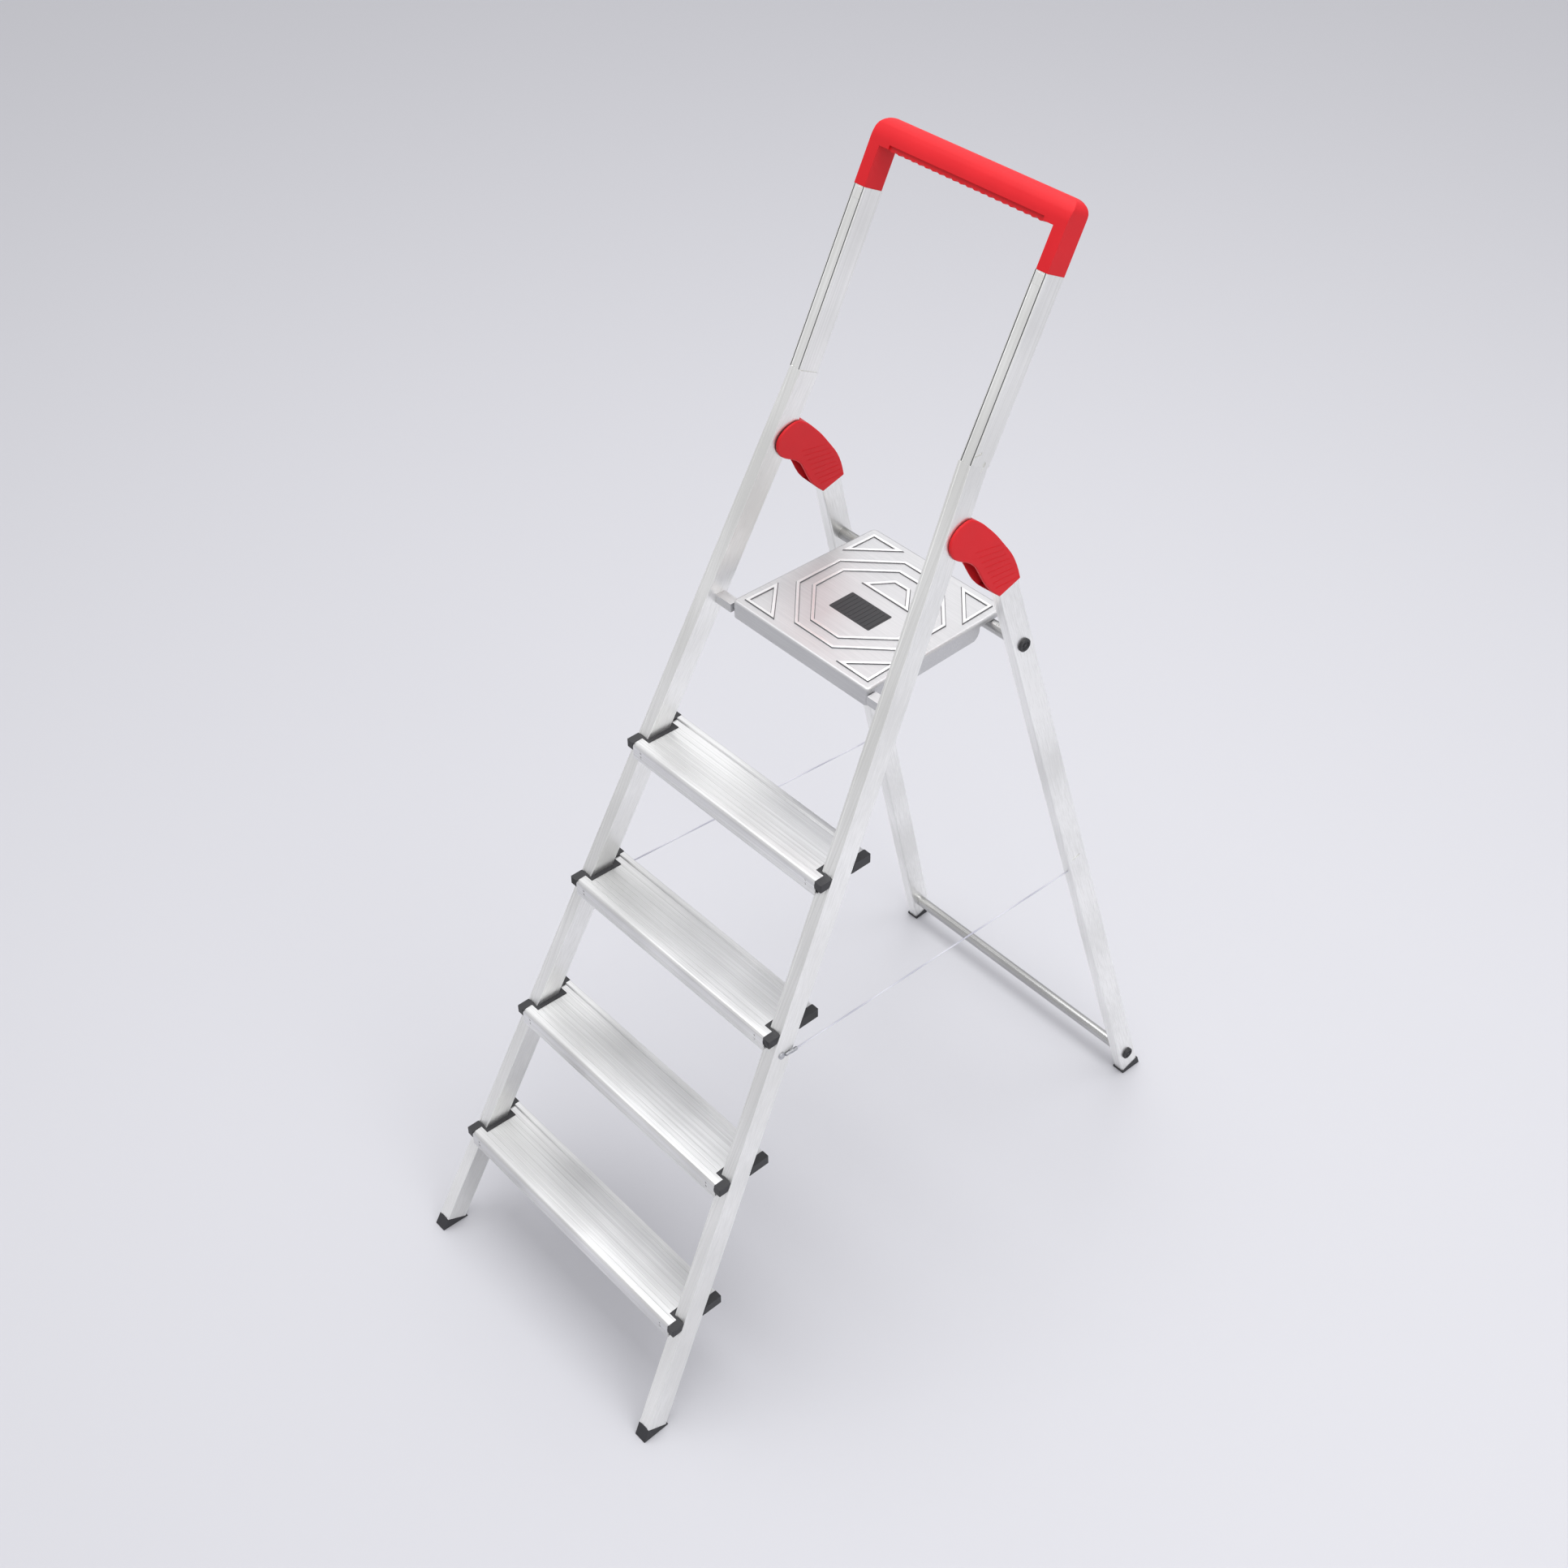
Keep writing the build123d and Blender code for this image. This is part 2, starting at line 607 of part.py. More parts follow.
save(deck.part, "deck")

with BuildPart() as deck_insert:
    with BuildSketch(Plane.XY.offset(platform_height - insert_recess)):
        with Locations((insert_centre[0], deck_front + insert_centre[1])):
            RectangleRounded(*insert_size, insert_corner)
    extrude(amount=insert_thickness)
save(deck_insert.part, "deck_insert")

under_deck = platform_height - deck_wall - fit_gap
deck_end = deck_front + deck_length - deck_wall - fit_gap
with BuildPart() as saddle:
    with BuildSketch(Plane.YZ.offset(saddle_spacing / 2 - saddle_width / 2)):
        with BuildLine():
            Polyline(
                (high_tube[0] - saddle_lead, under_deck),
                (high_tube[0] - saddle_lead, high_tube[1] + saddle_jaw),
                (high_tube[0], high_tube[1] + saddle_jaw),
                (high_tube[0], high_tube[1] - saddle_keel),
                (deck_end - deck_edge, high_tube[1] - saddle_keel),
                (deck_end - deck_edge, under_deck),
                close=True,
            )
        make_face()
        with Locations(high_tube):
            Circle(cross_tube_radius + stop_gap, mode=Mode.SUBTRACT)
    extrude(amount=saddle_width)
save_pair(saddle.part, "saddle")

# ---- hinge lugs and pins that carry the platform's front -----------------------
deck_side = deck_front_half + lug_gap
with BuildPart() as hinge_lug:
    with BuildSketch(Plane.YZ.offset(deck_side)):
        with Locations(hinge):
            Rectangle(lug_depth, lug_height)
    extrude(amount=lug_outer + lug_spare - deck_side)
    with BuildSketch(Plane.YZ.offset(deck_side + lug_wall)):
        with Locations((hinge[0], hinge[1] - lug_wall)):
            Rectangle(lug_depth - 2 * lug_wall, lug_height)
    extrude(amount=lug_outer - lug_end_wall - deck_side - lug_wall, mode=Mode.SUBTRACT)
    add(stile_block(fit_gap, fit_gap, blank_margin, blank_margin), mode=Mode.SUBTRACT)
    add(hinge_bar, mode=Mode.SUBTRACT)
save_pair(hinge_lug.part, "hinge_lug")

pin_inner = deck_front_half - pin_entry
pin_outer = lug_outer + tube_wall + pin_proud
save_pair(rod((pin_inner, *hinge), (pin_outer, *hinge), hinge_pin_radius), "hinge_pin")

# ---- stay cords, from an eye on each stile to a crimp inside each leg ----------
eye_plane = Plane(origin=(stile_outer(cord_eye_reach) + fit_gap, *eye), x_dir=(0, 1, 0), z_dir=stile_out)
with BuildPart() as cord_eye:
    with BuildSketch(eye_plane):
        Circle(eye_radius)
        Circle(rivet_shank + pin_gap, mode=Mode.SUBTRACT)
    extrude(amount=eye_thickness)
    barrel_start = Vector(eye_x, *eye) + cord_way * ferrule_start
    add(rod(tuple(barrel_start), tuple(cord_start), ferrule_radius))
save_pair(cord_eye.part, "cord_eye")

with BuildPart() as cord_rivet:
    with BuildSketch(eye_plane.offset(eye_thickness + fit_gap)):
        Circle(rivet_head)
    extrude(amount=rivet_head_height)
    with BuildSketch(eye_plane.offset(-tube_wall - rivet_tail)):
        Circle(rivet_shank)
    extrude(amount=tube_wall + rivet_tail + eye_thickness + fit_gap)
save_pair(cord_rivet.part, "cord_rivet")

save_pair(rod(tuple(cord_start), tuple(crimp_start), cord_radius), "stay_cord")
crimp_end = crimp_start + cord_way * crimp_length
save_pair(rod(tuple(crimp_start), tuple(crimp_end), crimp_radius), "cord_crimp")

cord_length = (crimp_start - cord_start).length
print(f"stay cord length {cord_length:.1f} mm")
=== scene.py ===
import bpy
import bmesh
from math import cos, pi, radians, sin, tan
from mathutils import Matrix, Vector


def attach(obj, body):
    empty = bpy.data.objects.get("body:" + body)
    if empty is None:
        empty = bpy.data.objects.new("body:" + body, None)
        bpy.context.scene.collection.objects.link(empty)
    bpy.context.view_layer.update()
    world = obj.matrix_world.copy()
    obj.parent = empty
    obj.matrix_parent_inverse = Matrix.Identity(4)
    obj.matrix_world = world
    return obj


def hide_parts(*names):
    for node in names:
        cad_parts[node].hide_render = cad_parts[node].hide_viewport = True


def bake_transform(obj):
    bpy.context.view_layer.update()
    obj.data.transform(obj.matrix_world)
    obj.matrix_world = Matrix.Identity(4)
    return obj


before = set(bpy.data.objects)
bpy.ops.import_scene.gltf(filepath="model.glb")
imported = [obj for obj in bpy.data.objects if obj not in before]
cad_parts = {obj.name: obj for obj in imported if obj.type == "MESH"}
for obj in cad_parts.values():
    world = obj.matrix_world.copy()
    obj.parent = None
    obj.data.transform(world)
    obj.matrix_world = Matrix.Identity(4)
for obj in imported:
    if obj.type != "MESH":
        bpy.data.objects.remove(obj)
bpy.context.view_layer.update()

# ---- camera -------------------------------------------------------------------
# A view from well above head height, off the climber's right shoulder, looking down on the
# treads through a normal lens.
camera = bpy.data.objects.new("camera", bpy.data.cameras.new("camera"))
bpy.context.collection.objects.link(camera)
camera_spot = (1.6687, -1.5105, 2.7582)
forward = Vector((-0.5745, 0.4958, -0.6513)).normalized()
side = forward.cross(Vector((-0.4825, 0.4376, 0.7587))).normalized()
camera.matrix_world = Matrix.Translation(camera_spot) @ (
    Matrix((side, side.cross(forward), -forward)).transposed().to_4x4()
)
camera.data.lens = 48.85
camera.data.sensor_width = 36.0
camera.data.shift_x = 0.0144
camera.data.shift_y = -0.0157
bpy.context.scene.camera = camera

# ---- stay cords ---------------------------------------------------------------
# Two thin sheathed steel cords, pulled straight between an eye on each stile and a hole in
# the front of each rear leg. They stop the legs from spreading.
MM = 0.001
FRONT, REAR, DECK = "front_frame", "rear_frame", "platform"


def linear(code):
    """Hex sRGB colour to linear RGBA."""
    parts = [int(code[i:i + 2], 16) / 255 for i in (0, 2, 4)]
    return (*[c / 12.92 if c <= 0.04045 else ((c + 0.055) / 1.055) ** 2.4 for c in parts], 1.0)


def add_node(tree, kind, values=None, links=None, **settings):
    """Add a node, with its settings, socket values and incoming links."""
    made = tree.nodes.new(kind)
    for name, value in settings.items():
        setattr(made, name, value)
    for socket, value in (values or {}).items():
        made.inputs[socket].default_value = value
    for socket, source in (links or {}).items():
        tree.links.new(source, made.inputs[socket])
    return made


def new_finish(name):
    """An empty material: its tree, its Principled shader and its Object coordinates."""
    material = bpy.data.materials.new(name)
    material.use_nodes = True
    tree = material.node_tree
    shader = tree.nodes["Principled BSDF"]
    place = add_node(tree, "ShaderNodeTexCoord").outputs["Object"]
    return material, tree, shader, place


# Extruded polypropylene sheath over fine steel wire: pale lilac grey, slightly glossy, with
# the wire's lay just showing through as a slow spiral of light and dark. The wave texture
# turns 20 radians in a unit, so the lay comes round every 57 mm, coarser than a real one.
lay_radian = 9 * MM
cord_sheath, tree, shader, place = new_finish("sheathed_wire")
lay = add_node(
    tree, "ShaderNodeTexWave", {"Scale": 1 / lay_radian / 20, "Distortion": 0.6},
    {"Vector": place}, bands_direction="DIAGONAL",
)
tone = add_node(
    tree, "ShaderNodeMix", {"A": linear("b4b4c0"), "B": linear("d6d6de")},
    {"Factor": lay.outputs["Fac"]}, data_type="RGBA",
)
tree.links.new(tone.outputs["Result"], shader.inputs["Base Color"])
bump = add_node(
    tree, "ShaderNodeBump", {"Strength": 0.3, "Distance": 0.2 * MM},
    {"Height": lay.outputs["Fac"]},
)
tree.links.new(bump.outputs["Normal"], shader.inputs["Normal"])
shader.inputs["Roughness"].default_value = 0.42

cord_thickness, cord_length = 2.5 * MM, 0.5643
for hand, name in ((1, "right"), (-1, "left")):
    route = [
        (hand * 222.51, -206.89, 568.15), (hand * 222.21, -191.92, 567.24),
        (hand * 211.50, 341.26, 534.66), (hand * 211.20, 356.23, 533.75),
    ]
    line = bpy.data.curves.new(f"stay_cord_{name}_line", "CURVE")
    line.dimensions = "3D"
    spline = line.splines.new("NURBS")
    spline.points.add(len(route) - 1)
    for point, spot in zip(spline.points, route):
        point.co = (*[c * MM for c in spot], 1)
    spline.order_u = 3
    spline.use_endpoint_u = True
    line.resolution_u = 24
    holder = bpy.data.objects.new("line", line)
    bpy.context.collection.objects.link(holder)
    bpy.context.view_layer.update()
    centre = bpy.data.meshes.new_from_object(holder)
    line.bevel_depth = cord_thickness / 2
    line.bevel_resolution = 3
    line.use_fill_caps = True
    bpy.context.view_layer.update()
    drawn = holder.evaluated_get(bpy.context.evaluated_depsgraph_get())
    skin = bpy.data.meshes.new_from_object(drawn)
    bpy.data.objects.remove(holder)
    skin.materials.clear()
    skin.materials.append(cord_sheath)
    skin.shade_smooth()
    cord = bpy.data.objects.new(f"cord_{name}", skin)
    bpy.context.collection.objects.link(cord)
    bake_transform(cord)
    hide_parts(f"stay_cord_{name}")

# ---- stiles -------------------------------------------------------------------
# Rectangular aluminium extrusions with a shallow groove down the front face. They lean
# back and draw together towards the top, and end square inside the boots.
LEAN, SPLAY = radians(26.95), radians(3.75)
stile_size = (20.6, 35.5)
stile_foot = 263.0
joint_reach = 1490.0
foot_cut = 21.4
floor_front = -542.03


def side_view(reach, depth):
    """Setback and height, in mm, of a place along the stile and behind its front face."""
    return (
        reach * sin(LEAN) + depth * cos(LEAN) + floor_front,
        reach * cos(LEAN) - depth * sin(LEAN),
    )


def frame_matrix(origin, across, along):
    """Matrix in metres whose x runs across, z along, and y towards the back."""
    x, z = Vector(across).normalized(), Vector(along).normalized()
    turn = Matrix((x, z.cross(x), z)).transposed().to_4x4()
    return Matrix.Translation(Vector(origin) * MM) @ turn @ Matrix.Scale(MM, 4)


stile_place = frame_matrix(
    (stile_foot, *side_view(0, 0)),
    (cos(SPLAY), sin(SPLAY) * sin(LEAN), sin(SPLAY) * cos(LEAN)),
    (-sin(SPLAY), cos(SPLAY) * sin(LEAN), cos(SPLAY) * cos(LEAN)),
)
upright_place = frame_matrix((0, *side_view(0, 0)), (1, 0, 0), (0, sin(LEAN), cos(LEAN)))


def prism(outline, low, high, place):
    """Outline in mm in a frame's x and y, pulled from low to high along its z."""
    bm = bmesh.new()
    face = bm.faces.new([bm.verts.new((x, y, low)) for x, y in outline])
    pulled = bmesh.ops.extrude_face_region(bm, geom=[face])
    moved = [v for v in pulled["geom"] if isinstance(v, bmesh.types.BMVert)]
    bmesh.ops.translate(bm, vec=(0, 0, high - low), verts=moved)
    bmesh.ops.transform(bm, matrix=place, verts=bm.verts)
    bmesh.ops.recalc_face_normals(bm, faces=bm.faces)
    return bm


def slice_off(bm, point, normal):
    """Cut away what lies on the side that normal points to, and close the cut."""
    cut = bmesh.ops.bisect_plane(
        bm, geom=bm.verts[:] + bm.edges[:] + bm.faces[:], plane_co=Vector(point) * MM,
        plane_no=normal, clear_outer=True,
    )
    rim = [e for e in cut["geom_cut"] if isinstance(e, bmesh.types.BMEdge)]
    bmesh.ops.holes_fill(bm, edges=rim, sides=0)
    bmesh.ops.recalc_face_normals(bm, faces=bm.faces)


def bevel_edges(bm, edges, radius, segments, clamp=False):
    """Round the given edges to a radius in mm."""
    bmesh.ops.bevel(
        bm, geom=edges, offset=radius * MM, offset_type="OFFSET", affect="EDGES",
        segments=segments, profile=0.5, material=-1, clamp_overlap=clamp,
    )


def round_edges(bm, radius, segments=2, least=25, wanted=None):
    """Bevel the edges that turn more than least degrees, or those of them wanted picks."""
    edges = [
        e for e in bm.edges
        if len(e.link_faces) == 2 and e.calc_face_angle(0) > radians(least)
    ]
    if wanted:
        edges = [e for e in edges if wanted(e)]
    bevel_edges(bm, edges, radius, segments, clamp=True)


def merged(first, *others):
    """One bmesh holding several shells."""
    for other in others:
        shell = bpy.data.meshes.new("shell")
        other.to_mesh(shell)
        first.from_mesh(shell)
        bpy.data.meshes.remove(shell)
        other.free()
    return first


def carve(bm, cutter, operation="DIFFERENCE"):
    """Boolean of two bmeshes, as a new bmesh."""
    pair = []
    for shape in (bm, cutter):
        mesh = bpy.data.meshes.new("carve")
        shape.to_mesh(mesh)
        shape.free()
        holder = bpy.data.objects.new("carve", mesh)
        bpy.context.collection.objects.link(holder)
        pair.append(holder)
    step = pair[0].modifiers.new("cut", "BOOLEAN")
    step.operation = operation
    step.solver = "EXACT"
    step.object = pair[1]
    bpy.context.view_layer.update()
    result = pair[0].evaluated_get(bpy.context.evaluated_depsgraph_get())
    done = bmesh.new()
    done.from_mesh(result.to_mesh())
    result.to_mesh_clear()
    for holder in pair:
        mesh = holder.data
        bpy.data.objects.remove(holder)
        bpy.data.meshes.remove(mesh)
    bmesh.ops.remove_doubles(done, verts=done.verts, dist=0.01 * MM)
    bmesh.ops.dissolve_limit(
        done, angle_limit=radians(0.5), use_dissolve_boundaries=False, verts=done.verts,
        edges=done.edges,
    )
    return done


def bore(bm, outline, low, high, place):
    """Cut a straight-sided hollow of the given outline."""
    return carve(bm, prism(outline, low, high, place))


def place_piece(bm, name, material, body, nodes, crease=32):
    """Turn a bmesh into a finished piece that rides on a body."""
    mesh = bpy.data.meshes.new(name)
    bm.to_mesh(mesh)
    bm.free()
    mesh.shade_smooth()
    mesh.set_sharp_from_angle(angle=radians(crease))
    mesh.materials.append(material)
    piece = bpy.data.objects.new(name, mesh)
    bpy.context.collection.objects.link(piece)
    even = piece.modifiers.new("even_shading", "WEIGHTED_NORMAL")
    even.keep_sharp = True
    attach(piece, body)
    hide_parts(*nodes)
    return piece


def mirror_copy(bm):
    """The left-hand twin of a right-hand shape."""
    twin = bm.copy()
    bmesh.ops.scale(twin, vec=(-1, 1, 1), verts=twin.verts)
    bmesh.ops.reverse_faces(twin, faces=twin.faces)
    return twin


def place_pair(bm, name, material, body, node, crease=32):
    """A right-hand piece and its mirror image; the node is given without its side."""
    twin = mirror_copy(bm)
    for shape, hand in ((bm, "right"), (twin, "left")):
        place_piece(shape, f"{name}_{hand}", material, body, [f"{node}_{hand}"], crease)


def drawn_aluminium(name, turn, light, dark, roughness):
    """Mill-finish extrusion: lines drawn along the die's direction, which spread the
    highlights sideways, and slow changes in tone along the bar. Real die lines are a tenth
    of a millimetre apart, and these are as coarse as they need to be to show."""
    material, tree, shader, place = new_finish(name)
    line_width, line_length, cloud_size = 1.6 * MM, 260 * MM, 140 * MM
    turned = add_node(
        tree, "ShaderNodeMapping", {"Rotation": turn}, {"Vector": place},
        vector_type="TEXTURE",
    )
    stretched = add_node(
        tree, "ShaderNodeMapping", {"Scale": (1 / line_width, 1 / line_width, 1 / line_length)},
        {"Vector": turned.outputs["Vector"]},
    )
    lines = add_node(
        tree, "ShaderNodeTexNoise", {"Scale": 1.0, "Detail": 3.0, "Roughness": 0.6},
        {"Vector": stretched.outputs["Vector"]},
    )
    cloud = add_node(
        tree, "ShaderNodeTexNoise", {"Scale": 1 / cloud_size, "Detail": 1.0},
        {"Vector": place},
    )
    both = add_node(
        tree, "ShaderNodeMath", {}, {0: lines.outputs["Fac"], 1: cloud.outputs["Fac"]},
        operation="MULTIPLY",
    )
    spread = add_node(
        tree, "ShaderNodeMapRange", {"From Min": 0.12, "From Max": 0.38},
        {"Value": both.outputs["Value"]},
    )
    tone = add_node(
        tree, "ShaderNodeMix", {"A": linear(dark), "B": linear(light)},
        {"Factor": spread.outputs["Result"]}, data_type="RGBA",
    )
    tree.links.new(tone.outputs["Result"], shader.inputs["Base Color"])
    rough = add_node(
        tree, "ShaderNodeMapRange", {"To Min": roughness - 0.07, "To Max": roughness + 0.07},
        {"Value": lines.outputs["Fac"]},
    )
    tree.links.new(rough.outputs["Result"], shader.inputs["Roughness"])
    bump = add_node(
        tree, "ShaderNodeBump", {"Strength": 0.12, "Distance": 0.05 * MM},
        {"Height": lines.outputs["Fac"]},
    )
    tree.links.new(bump.outputs["Normal"], shader.inputs["Normal"])
    shader.inputs["Metallic"].default_value = 1.0
    return material


def capsule(centre, length, width, slant=0.0, steps=6):
    """Outline of a slot with round ends, lying along its second axis before it is slanted."""
    half = length / 2 - width / 2
    outline = []
    for way in (1, -1):
        for step in range(steps + 1):
            turn = pi * step / steps
            outline.append((way * cos(turn) * width / 2, way * (half + sin(turn) * width / 2)))
    spun = [
        (x * cos(slant) - y * sin(slant), x * sin(slant) + y * cos(slant)) for x, y in outline
    ]
    return [(centre[0] + x, centre[1] + y) for x, y in spun]


# The joint slot is milled across the butt joint, so one half is cut here and the other in
# the guard rail. ON_SIDE turns a frame so that outlines lie on its outer side face.
ON_SIDE = Matrix(((0, 0, 1, 0), (1, 0, 0, 0), (0, 1, 0, 0), (0, 0, 0, 1)))
guard_outer = 166.8
outer_side = upright_place @ Matrix.Translation((guard_outer, 0, 0)) @ ON_SIDE
joint_slot, joint_slot_deep = capsule((24.0, joint_reach), 15.0, 4.5), 1.6
tube_edge = 1.3
stile_finish = drawn_aluminium(
    "extruded_aluminium_stile", (-LEAN, 0, 0), "fffffd", "ecece9", 0.36)
groove, lip = 0.7, 3.6
stile_outline = [
    (-stile_size[0], 0), (-stile_size[0] + lip, 0), (-stile_size[0] + lip + 0.4, groove),
    (-lip - 0.4, groove), (-lip, 0), (0, 0), (0, stile_size[1]), (-stile_size[0], stile_size[1]),
]
stile_spare = 40
stile = prism(stile_outline, 0, joint_reach + stile_spare, stile_place)
slice_off(stile, (0, *side_view(foot_cut, 0)), (0, -sin(LEAN), -cos(LEAN)))
slice_off(stile, (0, *side_view(joint_reach, 0)), (0, sin(LEAN), cos(LEAN)))
round_edges(stile, tube_edge, 3, least=60)
stile = bore(stile, joint_slot, -joint_slot_deep, 3, outer_side)
place_pair(stile, "stile_tube", stile_finish, FRONT, "stile")

# ---- guard rails --------------------------------------------------------------
# Upright aluminium tubes of the same section, slid over a sleeve in the top of each stile.
# Each has a seam along both front edges, two milled slots near the joint and a small
# pressed tab at the top.
guard_wide = 20.2
handle_reach = 1737.0
guard_outline = [(x * guard_wide / stile_size[0] + guard_outer, y) for x, y in stile_outline]
guard = prism(guard_outline, joint_reach, handle_reach, upright_place)
round_edges(guard, tube_edge, 3, least=60)

seam, seam_wide, seam_deep = 1.5, 1.4, 0.8
for edge, way in ((guard_outer, -1), (guard_outer - guard_wide, 1)):
    near, far = edge + way * seam, edge + way * (seam + seam_wide)
    seam_section = [(near, -1), (far, -1), (far, seam_deep), (near, seam_deep)]
    guard = bore(guard, seam_section, joint_reach - 1, handle_reach + 1, upright_place)
# Faces on the seams' floors and walls take the second material, which paints shade into the
# grooves.
for face in guard.faces:
    spot = upright_place.inverted() @ face.calc_center_median()
    inset = min(guard_outer - spot.x, spot.x - guard_outer + guard_wide)
    if seam - 0.1 < inset < seam + seam_wide + 0.1 and 0.1 < spot.y < 2:
        face.material_index = 1

guard = bore(guard, joint_slot, -joint_slot_deep, 3, outer_side)
slanted_slot = capsule((4.6, joint_reach + 15), 15.0, 3.4, radians(-62))
slanted_slot_deep = 1.3
guard = bore(guard, slanted_slot, -slanted_slot_deep, 2, outer_side)

tab_near, tab_far, tab_low, tab_high = guard_outer - 15.6, guard_outer - 4.6, 17, 2
tab_front, tab_back = -0.5, 1.4
tab = prism(
    [(tab_near, tab_front), (tab_far, tab_front), (tab_far, tab_back), (tab_near, tab_back)],
    handle_reach - tab_low, handle_reach - tab_high, upright_place,
)
round_edges(tab, 0.4)
place_pair(merged(guard, tab), "guard_tube", stile_finish, FRONT, "guard_rail")

# The seams' faces take a grey, dull copy of the aluminium: painted shade in the grooves.
seam_painted_shade = drawn_aluminium(
    "aluminium_seam_painted_shade", (-LEAN, 0, 0), "8c8c8e", "747476", 0.5)
for hand in ("right", "left"):
    bpy.data.objects[f"guard_tube_{hand}"].data.materials.append(seam_painted_shade)

# ---- handle -------------------------------------------------------------------
# One red moulded hoop with a flat fascia, a rounded top and a finger grip under the bar.
# Its two legs plug into the guard rail tubes.
handle_top, bar_under, handle_leg = 1828.0, 1791.0, 18.4
shelf, grip_half, hoop_corner, hoop_edge = 4.5, 132.0, 17, 1.6


def moulded(name, light, dark, roughness, grain, relief):
    """Injection-moulded plastic: an even colour clouded slightly by flow, with the grain of
    a textured tool, coarser than a real one so that it shows, and softer highlights where
    it has been handled. Grain and relief are in mm."""
    material, tree, shader, place = new_finish(name)
    flow_size = 60 * MM
    flow = add_node(
        tree, "ShaderNodeTexNoise", {"Scale": 1 / flow_size, "Detail": 2.0}, {"Vector": place},
    )
    texture = add_node(
        tree, "ShaderNodeTexNoise", {"Scale": 1 / (grain * MM), "Detail": 2.0},
        {"Vector": place},
    )
    tone = add_node(
        tree, "ShaderNodeMix", {"A": linear(dark), "B": linear(light)},
        {"Factor": flow.outputs["Fac"]}, data_type="RGBA",
    )
    tree.links.new(tone.outputs["Result"], shader.inputs["Base Color"])
    rough = add_node(
        tree, "ShaderNodeMapRange", {"To Min": roughness - 0.08, "To Max": roughness + 0.08},
        {"Value": flow.outputs["Fac"]},
    )
    tree.links.new(rough.outputs["Result"], shader.inputs["Roughness"])
    bump = add_node(
        tree, "ShaderNodeBump", {"Strength": 0.35, "Distance": relief * MM},
        {"Height": texture.outputs["Fac"]},
    )
    tree.links.new(bump.outputs["Normal"], shader.inputs["Normal"])
    return material


# Red polypropylene from a lightly grained tool: strong in colour, with a weak, soft shine.
red_plastic = moulded("moulded_red_polypropylene", "d41822", "c4121c", 0.5, 0.9, 0.05)
red_shader = red_plastic.node_tree.nodes["Principled BSDF"]
red_shader.inputs["Specular IOR Level"].default_value = 0.3

across_to_face = upright_place @ Matrix(
    ((1, 0, 0, 0), (0, 0, -1, 0), (0, 1, 0, 0), (0, 0, 0, 1))
)
side_to_across = upright_place @ ON_SIDE
leg_inner = guard_outer - handle_leg
hoop = [
    (-guard_outer, handle_reach), (-leg_inner, handle_reach), (-leg_inner, bar_under),
    (leg_inner, bar_under), (leg_inner, handle_reach), (guard_outer, handle_reach),
    (guard_outer, handle_top), (-guard_outer, handle_top),
]
handle = prism(hoop, -stile_size[1], 0, across_to_face)
to_hoop = across_to_face.inverted()
top_corners = []
for edge in handle.edges:
    one, two = [to_hoop @ v.co for v in edge.verts]
    if max(abs(one.y - handle_top), abs(two.y - handle_top), abs(one.x - two.x)) < 0.01:
        top_corners.append(edge)
bevel_edges(handle, top_corners, hoop_corner, 8)

# Section of the bar from its front, over the rounded top, to its back.
leg_end = handle_reach - 10
bar_section = [
    (0, leg_end), (0, handle_top - 27), (1.0, handle_top - 21),
    (2.6, handle_top - 15.5), (5.2, handle_top - 10), (8.6, handle_top - 5.6),
    (12.4, handle_top - 2.4), (16.4, handle_top - 0.5), (20, handle_top),
    (24, handle_top - 0.6), (27.6, handle_top - 2.3), (31, handle_top - 5.4),
    (33.6, handle_top - 9.4), (35, handle_top - 14), (stile_size[1], handle_top - 19),
    (stile_size[1], leg_end),
]
bar = prism(bar_section, -guard_outer - 5, guard_outer + 5, side_to_across)
handle = carve(handle, bar, "INTERSECT")
round_edges(handle, hoop_edge, 3, least=50)

# The finger grip: a recess along the bar's front lower edge, filled with scallops.
recess = [
    (-2, bar_under - 3), (shelf, bar_under - 3), (shelf, bar_under + 4),
    (1.2, bar_under + 5.5), (-2, bar_under + 5.5),
]
handle = bore(handle, recess, -grip_half, grip_half, side_to_across)
finger, ridge = 12.0, 2.6
wave_steps = int(2 * grip_half / finger) * 6
wave = []
for step in range(wave_steps + 1):
    along = 2 * grip_half * step / wave_steps
    wave.append((along - grip_half, bar_under + 0.6 - ridge * abs(sin(pi * along / finger))))
wave += [(grip_half, bar_under + 6), (-grip_half, bar_under + 6)]
grip_ridges = prism(wave, -30, -shelf + 1.5, across_to_face)
place_piece(
    merged(handle, grip_ridges), "handle_hoop", red_plastic, FRONT, ["handle"],
    crease=38,
)

# ---- boots --------------------------------------------------------------------
# Black rubber shoes pushed over the stiles' ends and cut level with the floor, with their
# moulded edges slightly rounded.

# Moulded rubber: charcoal rather than black, nearly matt, with a coarse tool grain.
black_rubber = moulded("moulded_black_rubber", "343437", "26262a", 0.62, 1.3, 0.08)
rubber_edge = 0.9


def copy_of(node):
    """A merged copy of a CAD node's mesh, with its flat faces made whole."""
    bm = bmesh.new()
    bm.from_mesh(bpy.data.objects[node].data)
    bmesh.ops.remove_doubles(bm, verts=bm.verts, dist=0.003 * MM)
    bmesh.ops.dissolve_limit(
        bm, angle_limit=radians(0.6), use_dissolve_boundaries=False, verts=bm.verts,
        edges=bm.edges,
    )
    return bm


def refine(node, name, material, body, radius, segments=2):
    """A right and left piece shaped from a CAD part with its edges broken."""
    bm = copy_of(f"{node}_right")
    round_edges(bm, radius, segments, least=35)
    place_pair(bm, name, material, body, node)


refine("boot", "stile_boot", black_rubber, FRONT, rubber_edge, 3)

